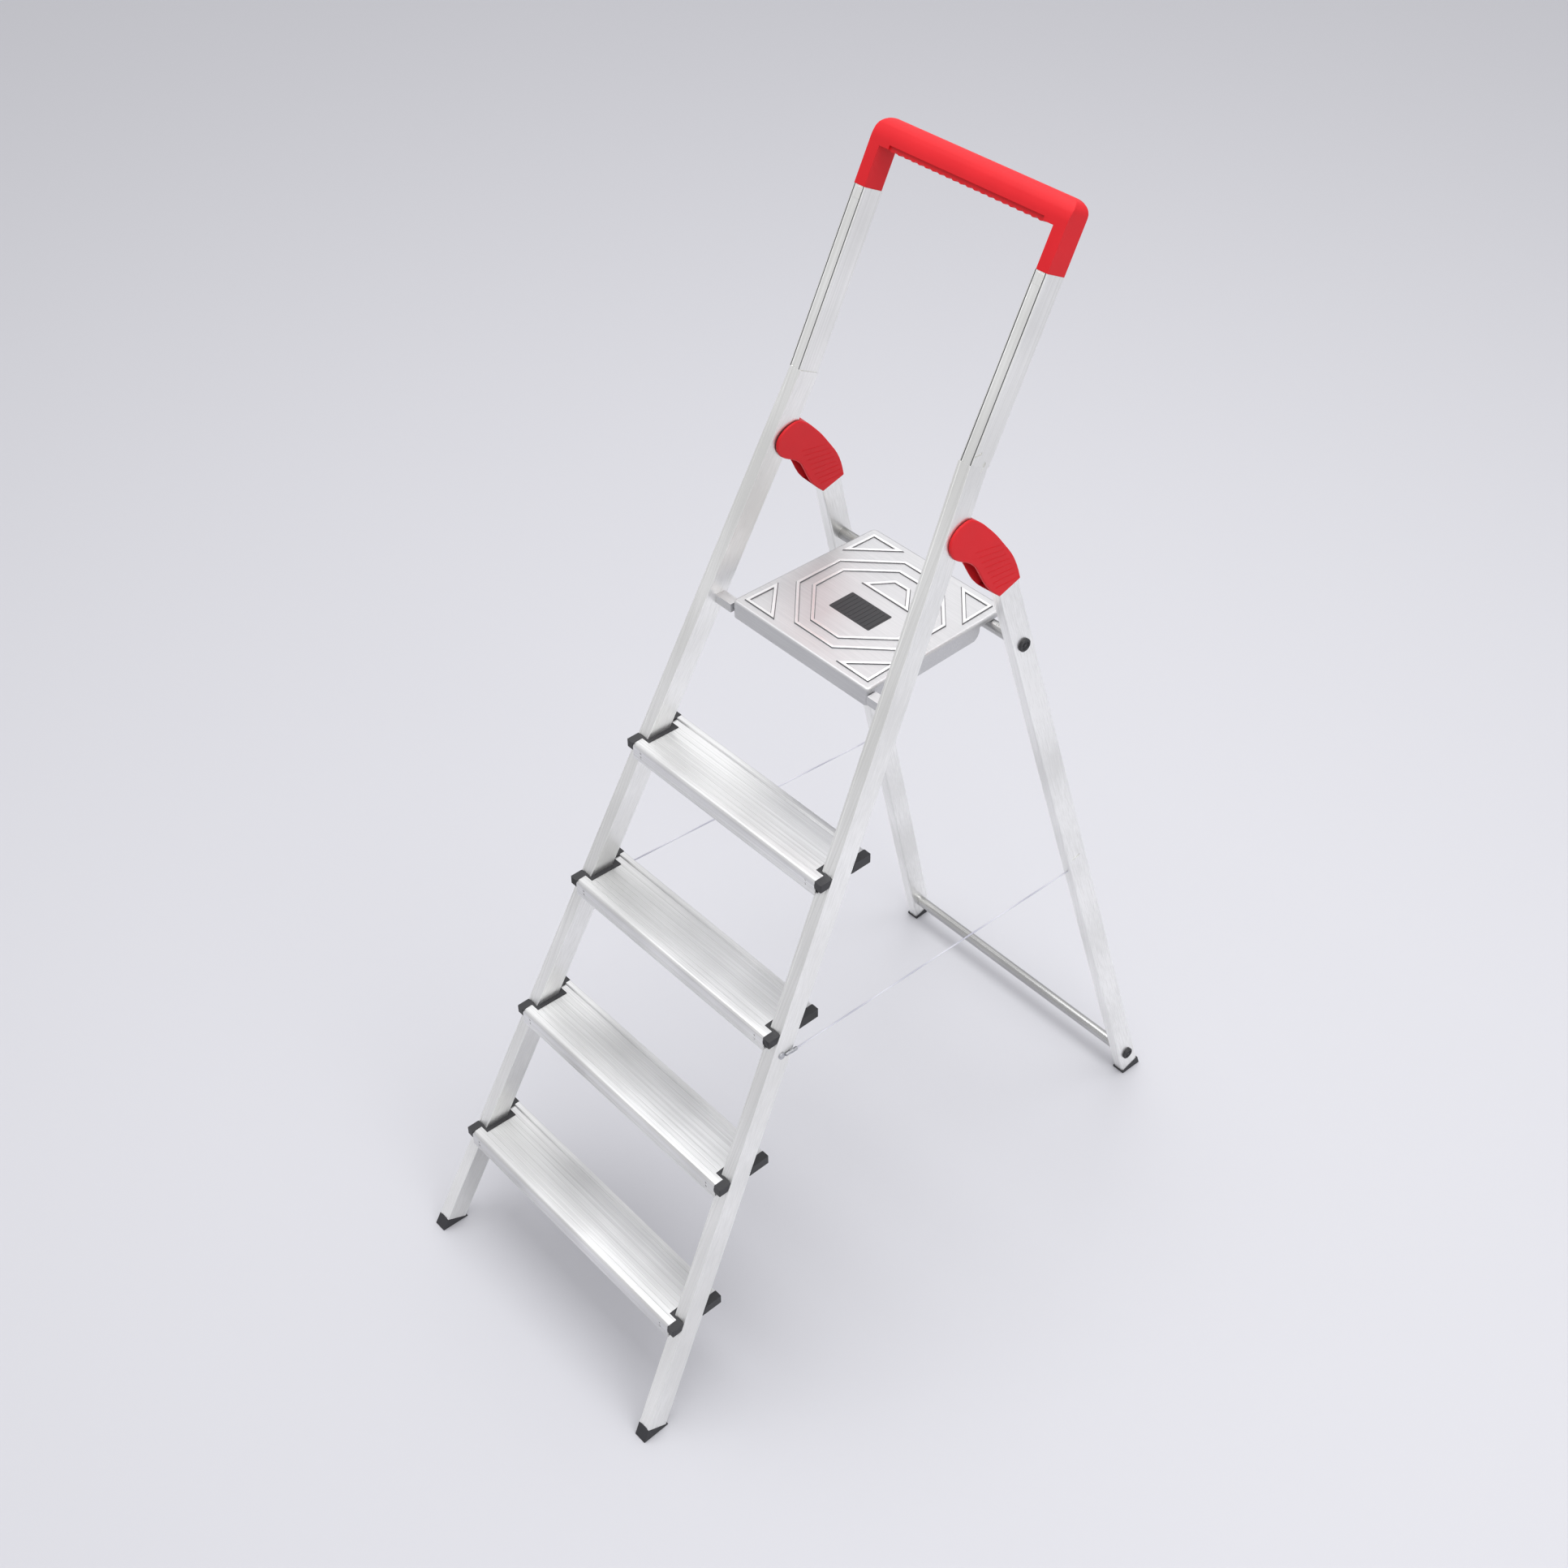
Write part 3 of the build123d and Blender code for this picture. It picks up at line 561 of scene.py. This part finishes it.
# ---- treads -------------------------------------------------------------------
# Four aluminium extrusions with a round nose, fine lengthwise ribs and a raised bead along
# the back. Their ends are notched round the stiles, and each end is screwed on twice.
tread_finish = drawn_aluminium(
    "extruded_aluminium_tread", (0, radians(90), 0), "f0f0f0", "d4d4d4", 0.36)
tread_depth, tread_height, tread_skin, nose, nose_steps = 90.5, 25.0, 2.2, 6.5, 6
end_lip, rise, deck_level, overhang = 13.0, 211.0, 1030.0, 20.8
rib_pitch, rib_wide, rib_high, rib_slope, first_rib, rib_count = 8.0, 1.6, 0.3, 0.35, 14.0, 8
bead_start, bead_high = 80.5, 2.5
turned_in, turned_up = 7.0, -22.8


def tread_profile():
    """Section of a tread, from the bottom of its front face over the top and back inside."""
    outline = [(0, -tread_height), (0, -20.2), (0.6, -19.8), (0.6, -19.2), (0, -18.8)]
    for step in range(nose_steps + 1):
        turn = pi / 2 * step / nose_steps
        outline.append((nose - nose * cos(turn), -nose + nose * sin(turn)))
    for rib in range(rib_count):
        at = first_rib + rib * rib_pitch
        outline += [
            (at, 0), (at + rib_slope, rib_high), (at + rib_wide - rib_slope, rib_high),
            (at + rib_wide, 0),
        ]
    outline += [
        (bead_start, 0), (bead_start + 0.5, 1.5), (bead_start + 1.8, bead_high),
        (88.6, bead_high), (90.0, 1.7), (tread_depth, 0.4), (tread_depth, -tread_height),
        (83.5, -tread_height), (83.5, turned_up), (tread_depth - tread_skin, turned_up),
        (tread_depth - tread_skin, -tread_skin), (8.0, -tread_skin), (4.0, -3.6),
        (tread_skin, -7.0), (tread_skin, turned_up), (turned_in, turned_up),
        (turned_in, -tread_height),
    ]
    return outline


def stile_block():
    """Block round the right stile that the treads are notched for."""
    front_margin, inner_margin, rear_margin, beyond = 3.0, 7.4, 9.0, 60
    corners = [
        (-stile_size[0] - inner_margin, -front_margin), (beyond, -front_margin),
        (beyond, stile_size[1] + rear_margin),
        (-stile_size[0] - inner_margin, stile_size[1] + rear_margin),
    ]
    return prism(corners, 0, joint_reach, stile_place)


screw_radius, screw_deep, screw_inset, screw_drops = 1.7, 2.4, 17, (8.0, 15.0)
for number in range(1, 5):
    top = deck_level - rise * (5 - number)
    front = top * tan(LEAN) + floor_front - overhang
    end = stile_foot - top / cos(LEAN) * tan(SPLAY) - end_lip
    tread_place = frame_matrix((0, front, top), (0, 1, 0), (1, 0, 0))
    tread = prism(tread_profile(), -end, end, tread_place)
    tread = carve(tread, stile_block())
    tread = carve(tread, mirror_copy(stile_block()))
    holes = bmesh.new()
    for hand in (1, -1):
        for drop in screw_drops:
            spot = Matrix.Translation((hand * (end - screw_inset), 0, -drop))
            bmesh.ops.create_cone(
                holes, cap_ends=True, segments=20, radius1=screw_radius, radius2=screw_radius,
                depth=screw_deep, matrix=spot @ Matrix.Rotation(pi / 2, 4, "X"),
            )
    bmesh.ops.transform(
        holes, verts=holes.verts,
        matrix=Matrix.Translation(Vector((0, front, top)) * MM) @ Matrix.Scale(MM, 4),
    )
    tread = carve(tread, holes)
    place_piece(
        tread, f"tread_plank_{number}", tread_finish, FRONT,
        [f"tread_{number}"], crease=30,
    )

# ---- end caps -----------------------------------------------------------------
# Black moulded caps that close each tread's ends and wrap round the stile, seen from above
# as an S with rounded corners.

# Glass-filled nylon: dark grey with a soft shine.
black_plastic = moulded("moulded_black_nylon", "2f2f32", "242427", 0.5, 1.0, 0.06)
lobe_long, lobe_round, cap_edge = 14, 3.2, 0.8
for number in range(1, 5):
    cap = copy_of(f"end_cap_{number}_right")
    upright = [
        e for e in cap.edges
        if len(e.link_faces) == 2 and e.calc_face_angle_signed(0) > radians(50)
        and abs(e.verts[0].co.z - e.verts[1].co.z) > 0.85 * e.calc_length()
        and max(v.co.x for v in e.verts) > max(v.co.x for v in cap.verts) - lobe_long * MM
    ]
    bevel_edges(cap, upright, lobe_round, 4, clamp=True)
    round_edges(cap, cap_edge, 2, least=40)
    place_pair(
        cap, f"tread_cap_{number}", black_plastic, FRONT, f"end_cap_{number}")

# ---- rear legs ----------------------------------------------------------------
# Plain rectangular aluminium tubes with rounded edges, leaning the other way. A slot is
# milled across each outer face over the cord's anchor.
LEG_LEAN, LEG_SPLAY = radians(15.83), radians(3.87)
leg_size, leg_top, leg_cut, leg_edge = (19.0, 35.6), 1184.0, 4.2, 3.0
leg_foot = (258.31, 504.36)
leg_place = frame_matrix(
    (leg_foot[0], leg_foot[1], 0),
    (cos(LEG_SPLAY), -sin(LEG_SPLAY) * sin(LEG_LEAN), sin(LEG_SPLAY) * cos(LEG_LEAN)),
    (-sin(LEG_SPLAY), -cos(LEG_SPLAY) * sin(LEG_LEAN), cos(LEG_SPLAY) * cos(LEG_LEAN)),
)
leg_finish = drawn_aluminium(
    "extruded_aluminium_leg", (LEG_LEAN, 0, 0), "fefefc", "e9e9e6", 0.34)
leg_outline = [(-leg_size[0], 0), (0, 0), (0, leg_size[1]), (-leg_size[0], leg_size[1])]
leg = prism(leg_outline, 0, leg_top / cos(LEG_SPLAY), leg_place)
slice_off(
    leg, (0, leg_foot[1] - leg_cut * sin(LEG_LEAN), leg_cut * cos(LEG_LEAN)),
    (0, sin(LEG_LEAN), -cos(LEG_LEAN)),
)
bevel_edges(leg, [e for e in leg.edges if e.calc_length() > 0.5], leg_edge, 4)
anchor_slot, anchor_slot_deep = capsule((15.2, 584.0), 16.0, 3.2, radians(90)), 1.3
leg = bore(leg, anchor_slot, -anchor_slot_deep, 2, leg_place @ ON_SIDE)
place_pair(leg, "leg_tube", leg_finish, REAR, "rear_leg")

# ---- cross tubes --------------------------------------------------------------
# Two round aluminium tubes, drawn bright and pushed through both legs. The platform's
# saddles rest on the upper one, and the lower one ties the feet together.
# The tubes are coloured darker than the rest of the aluminium: painted shade for where they pass
# between the platform and the legs.
tube_painted_shade = drawn_aluminium(
    "drawn_tube_painted_shade", (0, radians(90), 0), "c4c4c3", "a6a6a5", 0.24)


def turned(profile, centre, axis, steps=40):
    """Spin a profile of (radius, height) in mm round an axis through centre."""
    bm = bmesh.new()
    ends = [bm.verts.new((radius, 0, height)) for radius, height in profile]
    for one, two in zip(ends, ends[1:]):
        bm.edges.new((one, two))
    bmesh.ops.spin(
        bm, geom=bm.verts[:] + bm.edges[:], axis=(0, 0, 1), cent=(0, 0, 0), angle=2 * pi,
        steps=steps, use_merge=True,
    )
    bmesh.ops.remove_doubles(bm, verts=bm.verts, dist=0.001)
    turn = Vector((0, 0, 1)).rotation_difference(Vector(axis)).to_matrix().to_4x4()
    place = Matrix.Translation(Vector(centre) * MM) @ turn @ Matrix.Scale(MM, 4)
    bmesh.ops.transform(bm, verts=bm.verts, matrix=place)
    bmesh.ops.recalc_face_normals(bm, faces=bm.faces)
    return bm


# Setback, height and half length of each tube.
tube_radius, tube_chamfer = 9.0, 0.6
tubes = {"lower": (510.72, 42.99, 256.03), "upper": (236.0, 1011.8, 187.91)}
for level, (back, height, half) in tubes.items():
    wall = [
        (0, -half), (tube_radius - tube_chamfer, -half), (tube_radius, -half + tube_chamfer),
        (tube_radius, half - tube_chamfer), (tube_radius - tube_chamfer, half), (0, half),
    ]
    place_piece(
        turned(wall, (0, back, height), (1, 0, 0), 48), f"{level}_tube", tube_painted_shade, REAR,
        [f"{level}_cross_tube"],
    )

# ---- tube plugs ---------------------------------------------------------------
# Black moulded plugs pushed into the cross tubes' ends, each with a raised rim and a
# centre boss.
plug_profile = [
    (0, 2.7), (2.4, 2.7), (2.9, 2.2), (3.2, 1.2), (6.0, 1.2), (6.5, 2.5), (7.1, 3.0),
    (9.0, 3.0), (9.8, 2.3), (10.0, 1.4), (10.0, -1.6), (7.4, -1.6), (7.4, -12), (0, -12),
]
for level, (back, height, half) in tubes.items():
    plug = turned(plug_profile, (half + 0.3, back, height), (1, 0, 0))
    place_pair(plug, f"{level}_plug", black_plastic, REAR, f"{level}_tube_plug")

# ---- rear feet ----------------------------------------------------------------
# Black rubber feet pushed over the legs' lower ends and cut level with the floor, as the
# boots are.
refine("rear_foot", "leg_foot", black_rubber, REAR, rubber_edge, 3)

# ---- hinge caps ---------------------------------------------------------------
# Red moulded elbows over the legs' upper ends, hollow, with a cheek on each side of the
# stile and fine ribs across the lower half. Each turns on a pin in its stile.
pivot = (161.57, 109.33, 1228.17)
elbow = [
    (75.8, -115.2), (66.0, -106.0), (58.5, -98.0), (51.5, -89.0), (44.9, -77.5), (38.0, -63.5),
    (31.0, -50.0), (23.5, -41.8), (15.0, -35.5), (6.6, -30.8), (-1.0, -26.0), (-7.4, -20.6),
    (-12.0, -13.5), (-15.0, -6.5), (-15.8, 1.0), (-14.6, 6.6), (-12.0, 11.5), (-7.4, 16.2),
    (-1.7, 20.1), (4.6, 22.8), (11.0, 24.4), (17.8, 25.2), (24.0, 24.2), (31.6, 19.6),
    (39.4, 13.6), (46.6, 7.0), (53.0, 0.0), (60.8, -8.6), (68.2, -17.4), (75.0, -26.5),
    (81.2, -35.2), (87.2, -43.6), (93.2, -52.0), (98.8, -61.0), (103.6, -70.4),
    (107.6, -80.0), (110.9, -90.0), (114.6, -104.0),
]
elbow_back = elbow[elbow.index((-15.8, 1.0)):]
mouth = [(111.0, -101.5), (77.5, -110.5), (66, -101), (48, -106), (-5, -85), (-45, -40), (-40, 5)]
SWING = radians(84.44)
cap_normal = (1, tan(SPLAY) * cos(SWING), tan(SPLAY) * sin(SWING))
cap_place = frame_matrix(pivot, (0, 1, 0), cap_normal)
cheek_outer, cheek_inner, cheek_edge, cap_wall = 15.0, 11.5, 2.4, 3.2
shell = prism(elbow, -cheek_outer, cheek_outer, cap_place)
rim = [
    e for e in shell.edges
    if abs(e.calc_face_angle(0) - pi / 2) < radians(12) and e.calc_length() < 0.06
]
bevel_edges(shell, rim, cheek_edge, 4, clamp=True)

# The hollow keeps one wall's thickness along the elbow's back and opens at the mouth; the
# window lets the stile through.
opening = []
for before, here, after in zip(elbow_back, elbow_back[1:], elbow_back[2:]):
    way = (Vector(after) - Vector(before)).normalized()
    opening.append(tuple(Vector(here) + Vector((way.y, -way.x)) * cap_wall))
shell = bore(shell, opening + mouth, -cheek_inner, cheek_inner, cap_place)
stile_way = Vector((sin(LEAN), cos(LEAN)))
stile_back = Vector((cos(LEAN), -sin(LEAN)))
pin_setback = 24.0
window = [
    tuple(stile_way * s + stile_back * (t - pin_setback))
    for s, t in ((-80, -20), (60, -20), (60, 37), (-80, 37))
]
shell = bore(shell, window, -cheek_inner, cheek_inner, cap_place)

cap_rib_count, cap_rib_half, cap_rib_proud, cap_rib_thick = 8, 0.45, 0.35, 0.95
ribs = []
for count in range(cap_rib_count):
    share = count / (cap_rib_count - 1)
    low = Vector((30 + 38 * share, -27 - 71 * share))
    high = Vector((76 + 35 * share, -36 - 64 * share))
    edge = (high - low).normalized() * cap_rib_half
    flank = Vector((-edge.y, edge.x))
    strip = [tuple(low + flank), tuple(low - flank), tuple(high - flank), tuple(high + flank)]
    for start in (-cheek_outer - cap_rib_proud, cheek_outer + cap_rib_proud - cap_rib_thick):
        ribs.append(prism(strip, start, start + cap_rib_thick, cap_place))
place_pair(
    merged(shell, *ribs), "hinge_elbow", red_plastic, REAR, "hinge_cap",
    crease=38,
)

# ---- platform -----------------------------------------------------------------
# A pan pressed from aluminium sheet, with rounded corners and a pattern of raised beads
# that stiffens its top. It is cut away at the back over the cross tube.
deck_front, deck_long, deck_tall, sheet = -3.46, 264.7, 27.0, 1.8
deck_half_front, deck_half_rear, pan_corner, pan_brim = 134.5, 129.0, 8, 4.5
deck_place = frame_matrix((0, deck_front, deck_level), (1, 0, 0), (0, 0, 1))
pan_outline = [
    (-deck_half_front, 0), (deck_half_front, 0), (deck_half_rear, deck_long),
    (-deck_half_rear, deck_long),
]


def pressed_sheet(name, light, dark, roughness):
    """Rolled and pressed aluminium sheet: rolling lines across the ladder, coarser than
    real ones so that they show, and a cloudy sheen where the press has stretched it."""
    material, tree, shader, place = new_finish(name)
    line_width, line_length, cloud_size = 1.8 * MM, 90 * MM, 70 * MM
    rolled = add_node(
        tree, "ShaderNodeMapping", {"Scale": (1 / line_length, 1 / line_width, 1 / line_width)},
        {"Vector": place},
    )
    lines = add_node(
        tree, "ShaderNodeTexNoise", {"Scale": 1.0, "Detail": 3.0},
        {"Vector": rolled.outputs["Vector"]},
    )
    cloud = add_node(
        tree, "ShaderNodeTexNoise", {"Scale": 1 / cloud_size, "Detail": 2.0},
        {"Vector": place},
    )
    tone = add_node(
        tree, "ShaderNodeMix", {"A": linear(dark), "B": linear(light)},
        {"Factor": lines.outputs["Fac"]}, data_type="RGBA",
    )
    tree.links.new(tone.outputs["Result"], shader.inputs["Base Color"])
    rough = add_node(
        tree, "ShaderNodeMapRange", {"To Min": roughness - 0.07, "To Max": roughness + 0.07},
        {"Value": cloud.outputs["Fac"]},
    )
    tree.links.new(rough.outputs["Result"], shader.inputs["Roughness"])
    bump = add_node(
        tree, "ShaderNodeBump", {"Strength": 0.15, "Distance": 0.05 * MM},
        {"Height": lines.outputs["Fac"]},
    )
    tree.links.new(bump.outputs["Normal"], shader.inputs["Normal"])
    shader.inputs["Metallic"].default_value = 1.0
    return material


sheet_finish = pressed_sheet("pressed_aluminium_sheet", "dadadb", "c4c4c6", 0.5)
pan = prism(pan_outline, -deck_tall, 0, deck_place)
posts = [e for e in pan.edges if abs(e.verts[0].co.z - e.verts[1].co.z) > 0.02]
bevel_edges(pan, posts, pan_corner, 6)
brim = [e for e in pan.edges if all(v.co.z > (deck_level - 0.01) * MM for v in e.verts)]
bevel_edges(pan, brim, pan_brim, 4)
under = [f for f in pan.faces if f.normal.z < -0.9 and len(f.verts) > 4]
bmesh.ops.inset_region(pan, faces=under, thickness=sheet * MM, use_even_offset=True)
lifted = bmesh.ops.extrude_discrete_faces(pan, faces=under)
for face in lifted["faces"]:
    bmesh.ops.translate(pan, vec=(0, 0, (deck_tall - sheet) * MM), verts=face.verts)

skirt_end = tubes["upper"][0] - deck_front - 26.0
tube_clear, notch_low, notch_back = -8.0, -28, deck_long + 5
notch = [
    (skirt_end - 13, notch_low), (skirt_end - 8, -26), (skirt_end - 3.4, -22.2),
    (skirt_end - 0.8, -17.6), (skirt_end, -13), (skirt_end, tube_clear),
    (notch_back, tube_clear), (notch_back, notch_low),
]
deck_side_place = frame_matrix((0, deck_front, deck_level), (0, 1, 0), (1, 0, 0))
pan = bore(pan, notch, -150, 150, deck_side_place)

# A bead's section: a flat gap on each side, a slope up, and a crest between the slopes. It
# rises from the floor of a groove that the press sinks round it.
edge_gap, slope, crest, bead_rise, bead_edge, groove_floor = 0.9, 1.3, 4.6, 1.9, 0.6, 1.2
bead_wide = 2 * (edge_gap + slope) + crest


def bead(outline):
    """A closed raised bead that follows an outline on the platform's top."""
    bm = prism(outline, -groove_floor - 0.3, -groove_floor + 0.05, deck_place)
    top = [f for f in bm.faces if f.normal.z > 0.9]
    climb = bead_rise + groove_floor
    for thickness, lift in (
        (edge_gap, 0), (slope, climb), (crest, 0), (slope, -climb), (edge_gap, 0),
    ):
        bmesh.ops.inset_region(
            bm, faces=top, thickness=thickness * MM, depth=lift * MM, use_even_offset=True)
    # Crest faces take the third material, a painted highlight; the bead's lower faces take the
    # second, painted shade.
    proud = (deck_level + 1) * MM
    for face in bm.faces:
        face.material_index = 2 if min(v.co.z for v in face.verts) > proud else 1
    round_edges(bm, bead_edge, 2, 25, lambda e: min(v.co.z for v in e.verts) > proud)
    return bm


def crease(outline):
    """The groove that the press sinks along a bead, as a cutter."""
    bm = bmesh.new()
    face = bm.faces.new([bm.verts.new((x, y, -groove_floor)) for x, y in outline])
    bmesh.ops.inset_region(bm, faces=[face], thickness=bead_wide, use_even_offset=True)
    bmesh.ops.delete(bm, geom=[face], context="FACES_ONLY")
    pulled = bmesh.ops.extrude_face_region(bm, geom=bm.faces[:])
    moved = [v for v in pulled["geom"] if isinstance(v, bmesh.types.BMVert)]
    bmesh.ops.translate(bm, vec=(0, 0, 4), verts=moved)
    bmesh.ops.transform(bm, matrix=deck_place, verts=bm.verts)
    bmesh.ops.recalc_face_normals(bm, faces=bm.faces)
    return bm


# Four corner triangles, mirrored left to right with their direction kept.
corner_gap, corner_leg, corner_skew = 11.0, 66.0, 1.5
half_near, half_far = deck_half_front - corner_gap, deck_half_rear - corner_gap
near_line, far_line = corner_gap, deck_long - corner_gap
loops = []
for hand in (1, -1):
    near = [
        (half_near, near_line), (half_near - corner_skew, near_line + corner_leg),
        (half_near - corner_leg, near_line),
    ]
    far = [
        (half_far, far_line), (half_far - corner_leg, far_line),
        (half_far + corner_skew, far_line - corner_leg),
    ]
    loops += [[(hand * x, y) for x, y in shape][::hand] for shape in (near, far)]


def octagon(wide, narrow, short, tall):
    """Eight corners round the platform's middle."""
    middle = deck_long / 2 + 0.5
    quarter = [(narrow, tall), (wide, short)]
    right = [(x, middle - y) for x, y in quarter] + [(x, middle + y) for x, y in quarter[::-1]]
    return right + [(-x, y) for x, y in right[::-1]]


# Two octagons, one in the other, and a trapezium behind the insert.
loops += [octagon(107, 38, 41, 107), octagon(87, 28, 29, 87)]
loops.append([(-46, 156), (53, 156), (15, 198), (-15, 198)])
pan = carve(pan, merged(*[crease(loop) for loop in loops]))
platform = place_piece(
    merged(pan, *[bead(loop) for loop in loops]), "platform_pan", sheet_finish, DECK,
    ["deck"], crease=35,
)
# Each bead's faces below its crest take a darker copy of the sheet, as painted shade round the
# crease, and its crest takes a brighter copy, as a painted highlight.
crease_painted_shade = pressed_sheet("aluminium_crease_painted_shade", "8a8a8c", "707072", 0.5)
crest_painted_highlight = pressed_sheet("aluminium_bead_painted_highlight", "f4f4f4", "e4e4e5", 0.42)
platform.data.materials.append(crease_painted_shade)
platform.data.materials.append(crest_painted_highlight)

# ---- platform insert ----------------------------------------------------------
# A small black moulded pad let into the middle of the platform, with fine ribs from its
# front to its back.
pad_size, pad_centre, pad_corner, pad_edge = (78.0, 45.0), (3.0, 111.8), 2, 0.3
pad_outline = [
    (pad_centre[0] + x * pad_size[0] / 2, pad_centre[1] + y * pad_size[1] / 2)
    for x, y in ((-1, -1), (1, -1), (1, 1), (-1, 1))
]
pad = prism(pad_outline, -0.8, 0.4, deck_place)
pad_posts = [e for e in pad.edges if abs(e.verts[0].co.z - e.verts[1].co.z) > 0.001]
bevel_edges(pad, pad_posts, pad_corner, 4)
round_edges(pad, pad_edge, 2, least=60)
pad_rib_count, first_pad_rib, pad_rib_pitch, pad_rib_wide, pad_rib_half = 10, 33.7, 7.5, 2.2, 19
rib_front, rib_back = pad_centre[1] - pad_rib_half, pad_centre[1] + pad_rib_half
pad_ribs = []
for count in range(pad_rib_count):
    at = pad_centre[0] - first_pad_rib + count * pad_rib_pitch
    rib = [
        (at, rib_front), (at + pad_rib_wide, rib_front), (at + pad_rib_wide, rib_back),
        (at, rib_back),
    ]
    pad_ribs.append(prism(rib, 0.2, 0.75, deck_place))
place_piece(
    merged(pad, *pad_ribs), "platform_pad", black_plastic, DECK,
    ["deck_insert"],
)

# ---- saddles ------------------------------------------------------------------
# Black moulded hooks fixed under the platform, which sit over the upper cross tube and
# carry the platform's back.
refine("saddle", "tube_saddle", black_plastic, DECK, 0.8)

# ---- hinge lugs ---------------------------------------------------------------
# Short aluminium channels fixed to the stiles' inner faces, which carry the pins that the
# platform lifts on.
refine("hinge_lug", "platform_lug", sheet_finish, FRONT, 0.5)

# ---- cord fittings ------------------------------------------------------------
# Zinc-plated steel: an eye riveted to each stile, with a ferrule pressed in two steps
# round the cord's end.

# The plating shows as faint cool spangles, drawn 2.5 mm across so that they show.
spangle_size = 2.5 * MM
zinc_steel, tree, shader, place = new_finish("zinc_plated_steel")
spangle = add_node(tree, "ShaderNodeTexVoronoi", {"Scale": 1 / spangle_size}, {"Vector": place})
tone = add_node(
    tree, "ShaderNodeMix", {"A": linear("a4a5aa"), "B": linear("c9cace")},
    {"Factor": spangle.outputs["Distance"]}, data_type="RGBA",
)
tree.links.new(tone.outputs["Result"], shader.inputs["Base Color"])
rough = add_node(
    tree, "ShaderNodeMapRange", {"To Min": 0.25, "To Max": 0.42},
    {"Value": spangle.outputs["Distance"]},
)
tree.links.new(rough.outputs["Result"], shader.inputs["Roughness"])
shader.inputs["Metallic"].default_value = 1.0

eye_spot = Vector((220.53, -232.84, 569.74))
ferrule_spot = Vector((223.03, -232.84, 569.74))
stile_out = Vector((cos(SPLAY), sin(SPLAY) * sin(LEAN), sin(SPLAY) * cos(LEAN)))
cord_way = (Vector((211.27, 352.94, 533.95)) - ferrule_spot).normalized()
ring = turned(
    [(5.5, 0.1), (5.5, 1.4), (5.0, 1.9), (3.2, 1.9), (2.5, 1.4), (2.5, 0.1), (5.5, 0.1)],
    eye_spot, stile_out,
)
ferrule = turned(
    [(0, 5.2), (1.9, 5.2), (2.4, 5.8), (2.4, 14.2), (2.9, 14.8), (2.9, 25.2), (2.4, 26.0),
     (0, 26.0)],
    ferrule_spot, cord_way, 28,
)
place_pair(merged(ring, ferrule), "cord_ferrule", zinc_steel, FRONT, "cord_eye")
rivet = turned(
    [(0, 3.2), (1.6, 3.0), (3.2, 2.5), (4.2, 2.0), (4.5, 1.5), (4.0, 1.3), (2.1, 1.3),
     (2.1, -2.8), (0, -2.8)],
    eye_spot, stile_out,
)
place_pair(rivet, "eye_rivet", zinc_steel, FRONT, "cord_rivet")

# ---- hidden fittings ----------------------------------------------------------
# Pins, the sleeves inside the stile joints and the cords' crimps keep their plain turned
# and drawn shapes, in zinc-plated steel or, for the sleeves, the stiles' aluminium.
for hand in ("right", "left"):
    for node, material in (
        ("pivot_pin", zinc_steel), ("hinge_pin", zinc_steel), ("cord_crimp", zinc_steel),
        ("rail_sleeve", stile_finish),
    ):
        for socket in bpy.data.objects[f"{node}_{hand}"].material_slots:
            socket.material = material

# ---- floor and lights ---------------------------------------------------------
# A plain pale floor under a large overhead soft box, with a weaker one at the right and a
# weak one behind at the left, as in a product studio.
floor_finish, _, floor_shader, _ = new_finish("studio_floor")
floor_shader.inputs["Base Color"].default_value = linear("cbcbd0")
floor_shader.inputs["Roughness"].default_value = 0.95
floor_shape = bmesh.new()
bmesh.ops.create_grid(floor_shape, x_segments=2, y_segments=2, size=40)
floor_mesh = bpy.data.meshes.new("floor")
floor_shape.to_mesh(floor_mesh)
floor_mesh.materials.append(floor_finish)
floor = bpy.data.objects.new("floor", floor_mesh)
floor.location.z = -0.0005
bpy.context.collection.objects.link(floor)

world = bpy.data.worlds.new("studio")
bpy.context.scene.world = world
world.use_nodes = True
sky = world.node_tree.nodes["Background"]
sky.inputs["Color"].default_value = linear("eaeaec")
sky.inputs["Strength"].default_value = 0.88


def softbox(name, spot, target, size, power):
    """A white rectangular lamp at spot, facing target; metres and watts."""
    lamp = bpy.data.lights.new(name, "AREA")
    lamp.shape = "RECTANGLE"
    lamp.size, lamp.size_y = size
    lamp.energy = power
    holder = bpy.data.objects.new(name, lamp)
    holder.location = spot
    holder.rotation_mode = "QUATERNION"
    holder.rotation_quaternion = (Vector(target) - Vector(spot)).to_track_quat("-Z", "Y")
    bpy.context.collection.objects.link(holder)


softbox("overhead", (-0.1, 0.5, 4.6), (-0.1, 0.5, 0), (3.2, 3.2), 122)
softbox("right_side", (4.6, -0.6, 2.6), (0, 0, 0.9), (3.5, 3.0), 65)
softbox("back_left", (-4.0, 3.8, 5.6), (0, 0, 0.8), (4, 4), 18)
bpy.context.scene.view_settings.view_transform = "Standard"
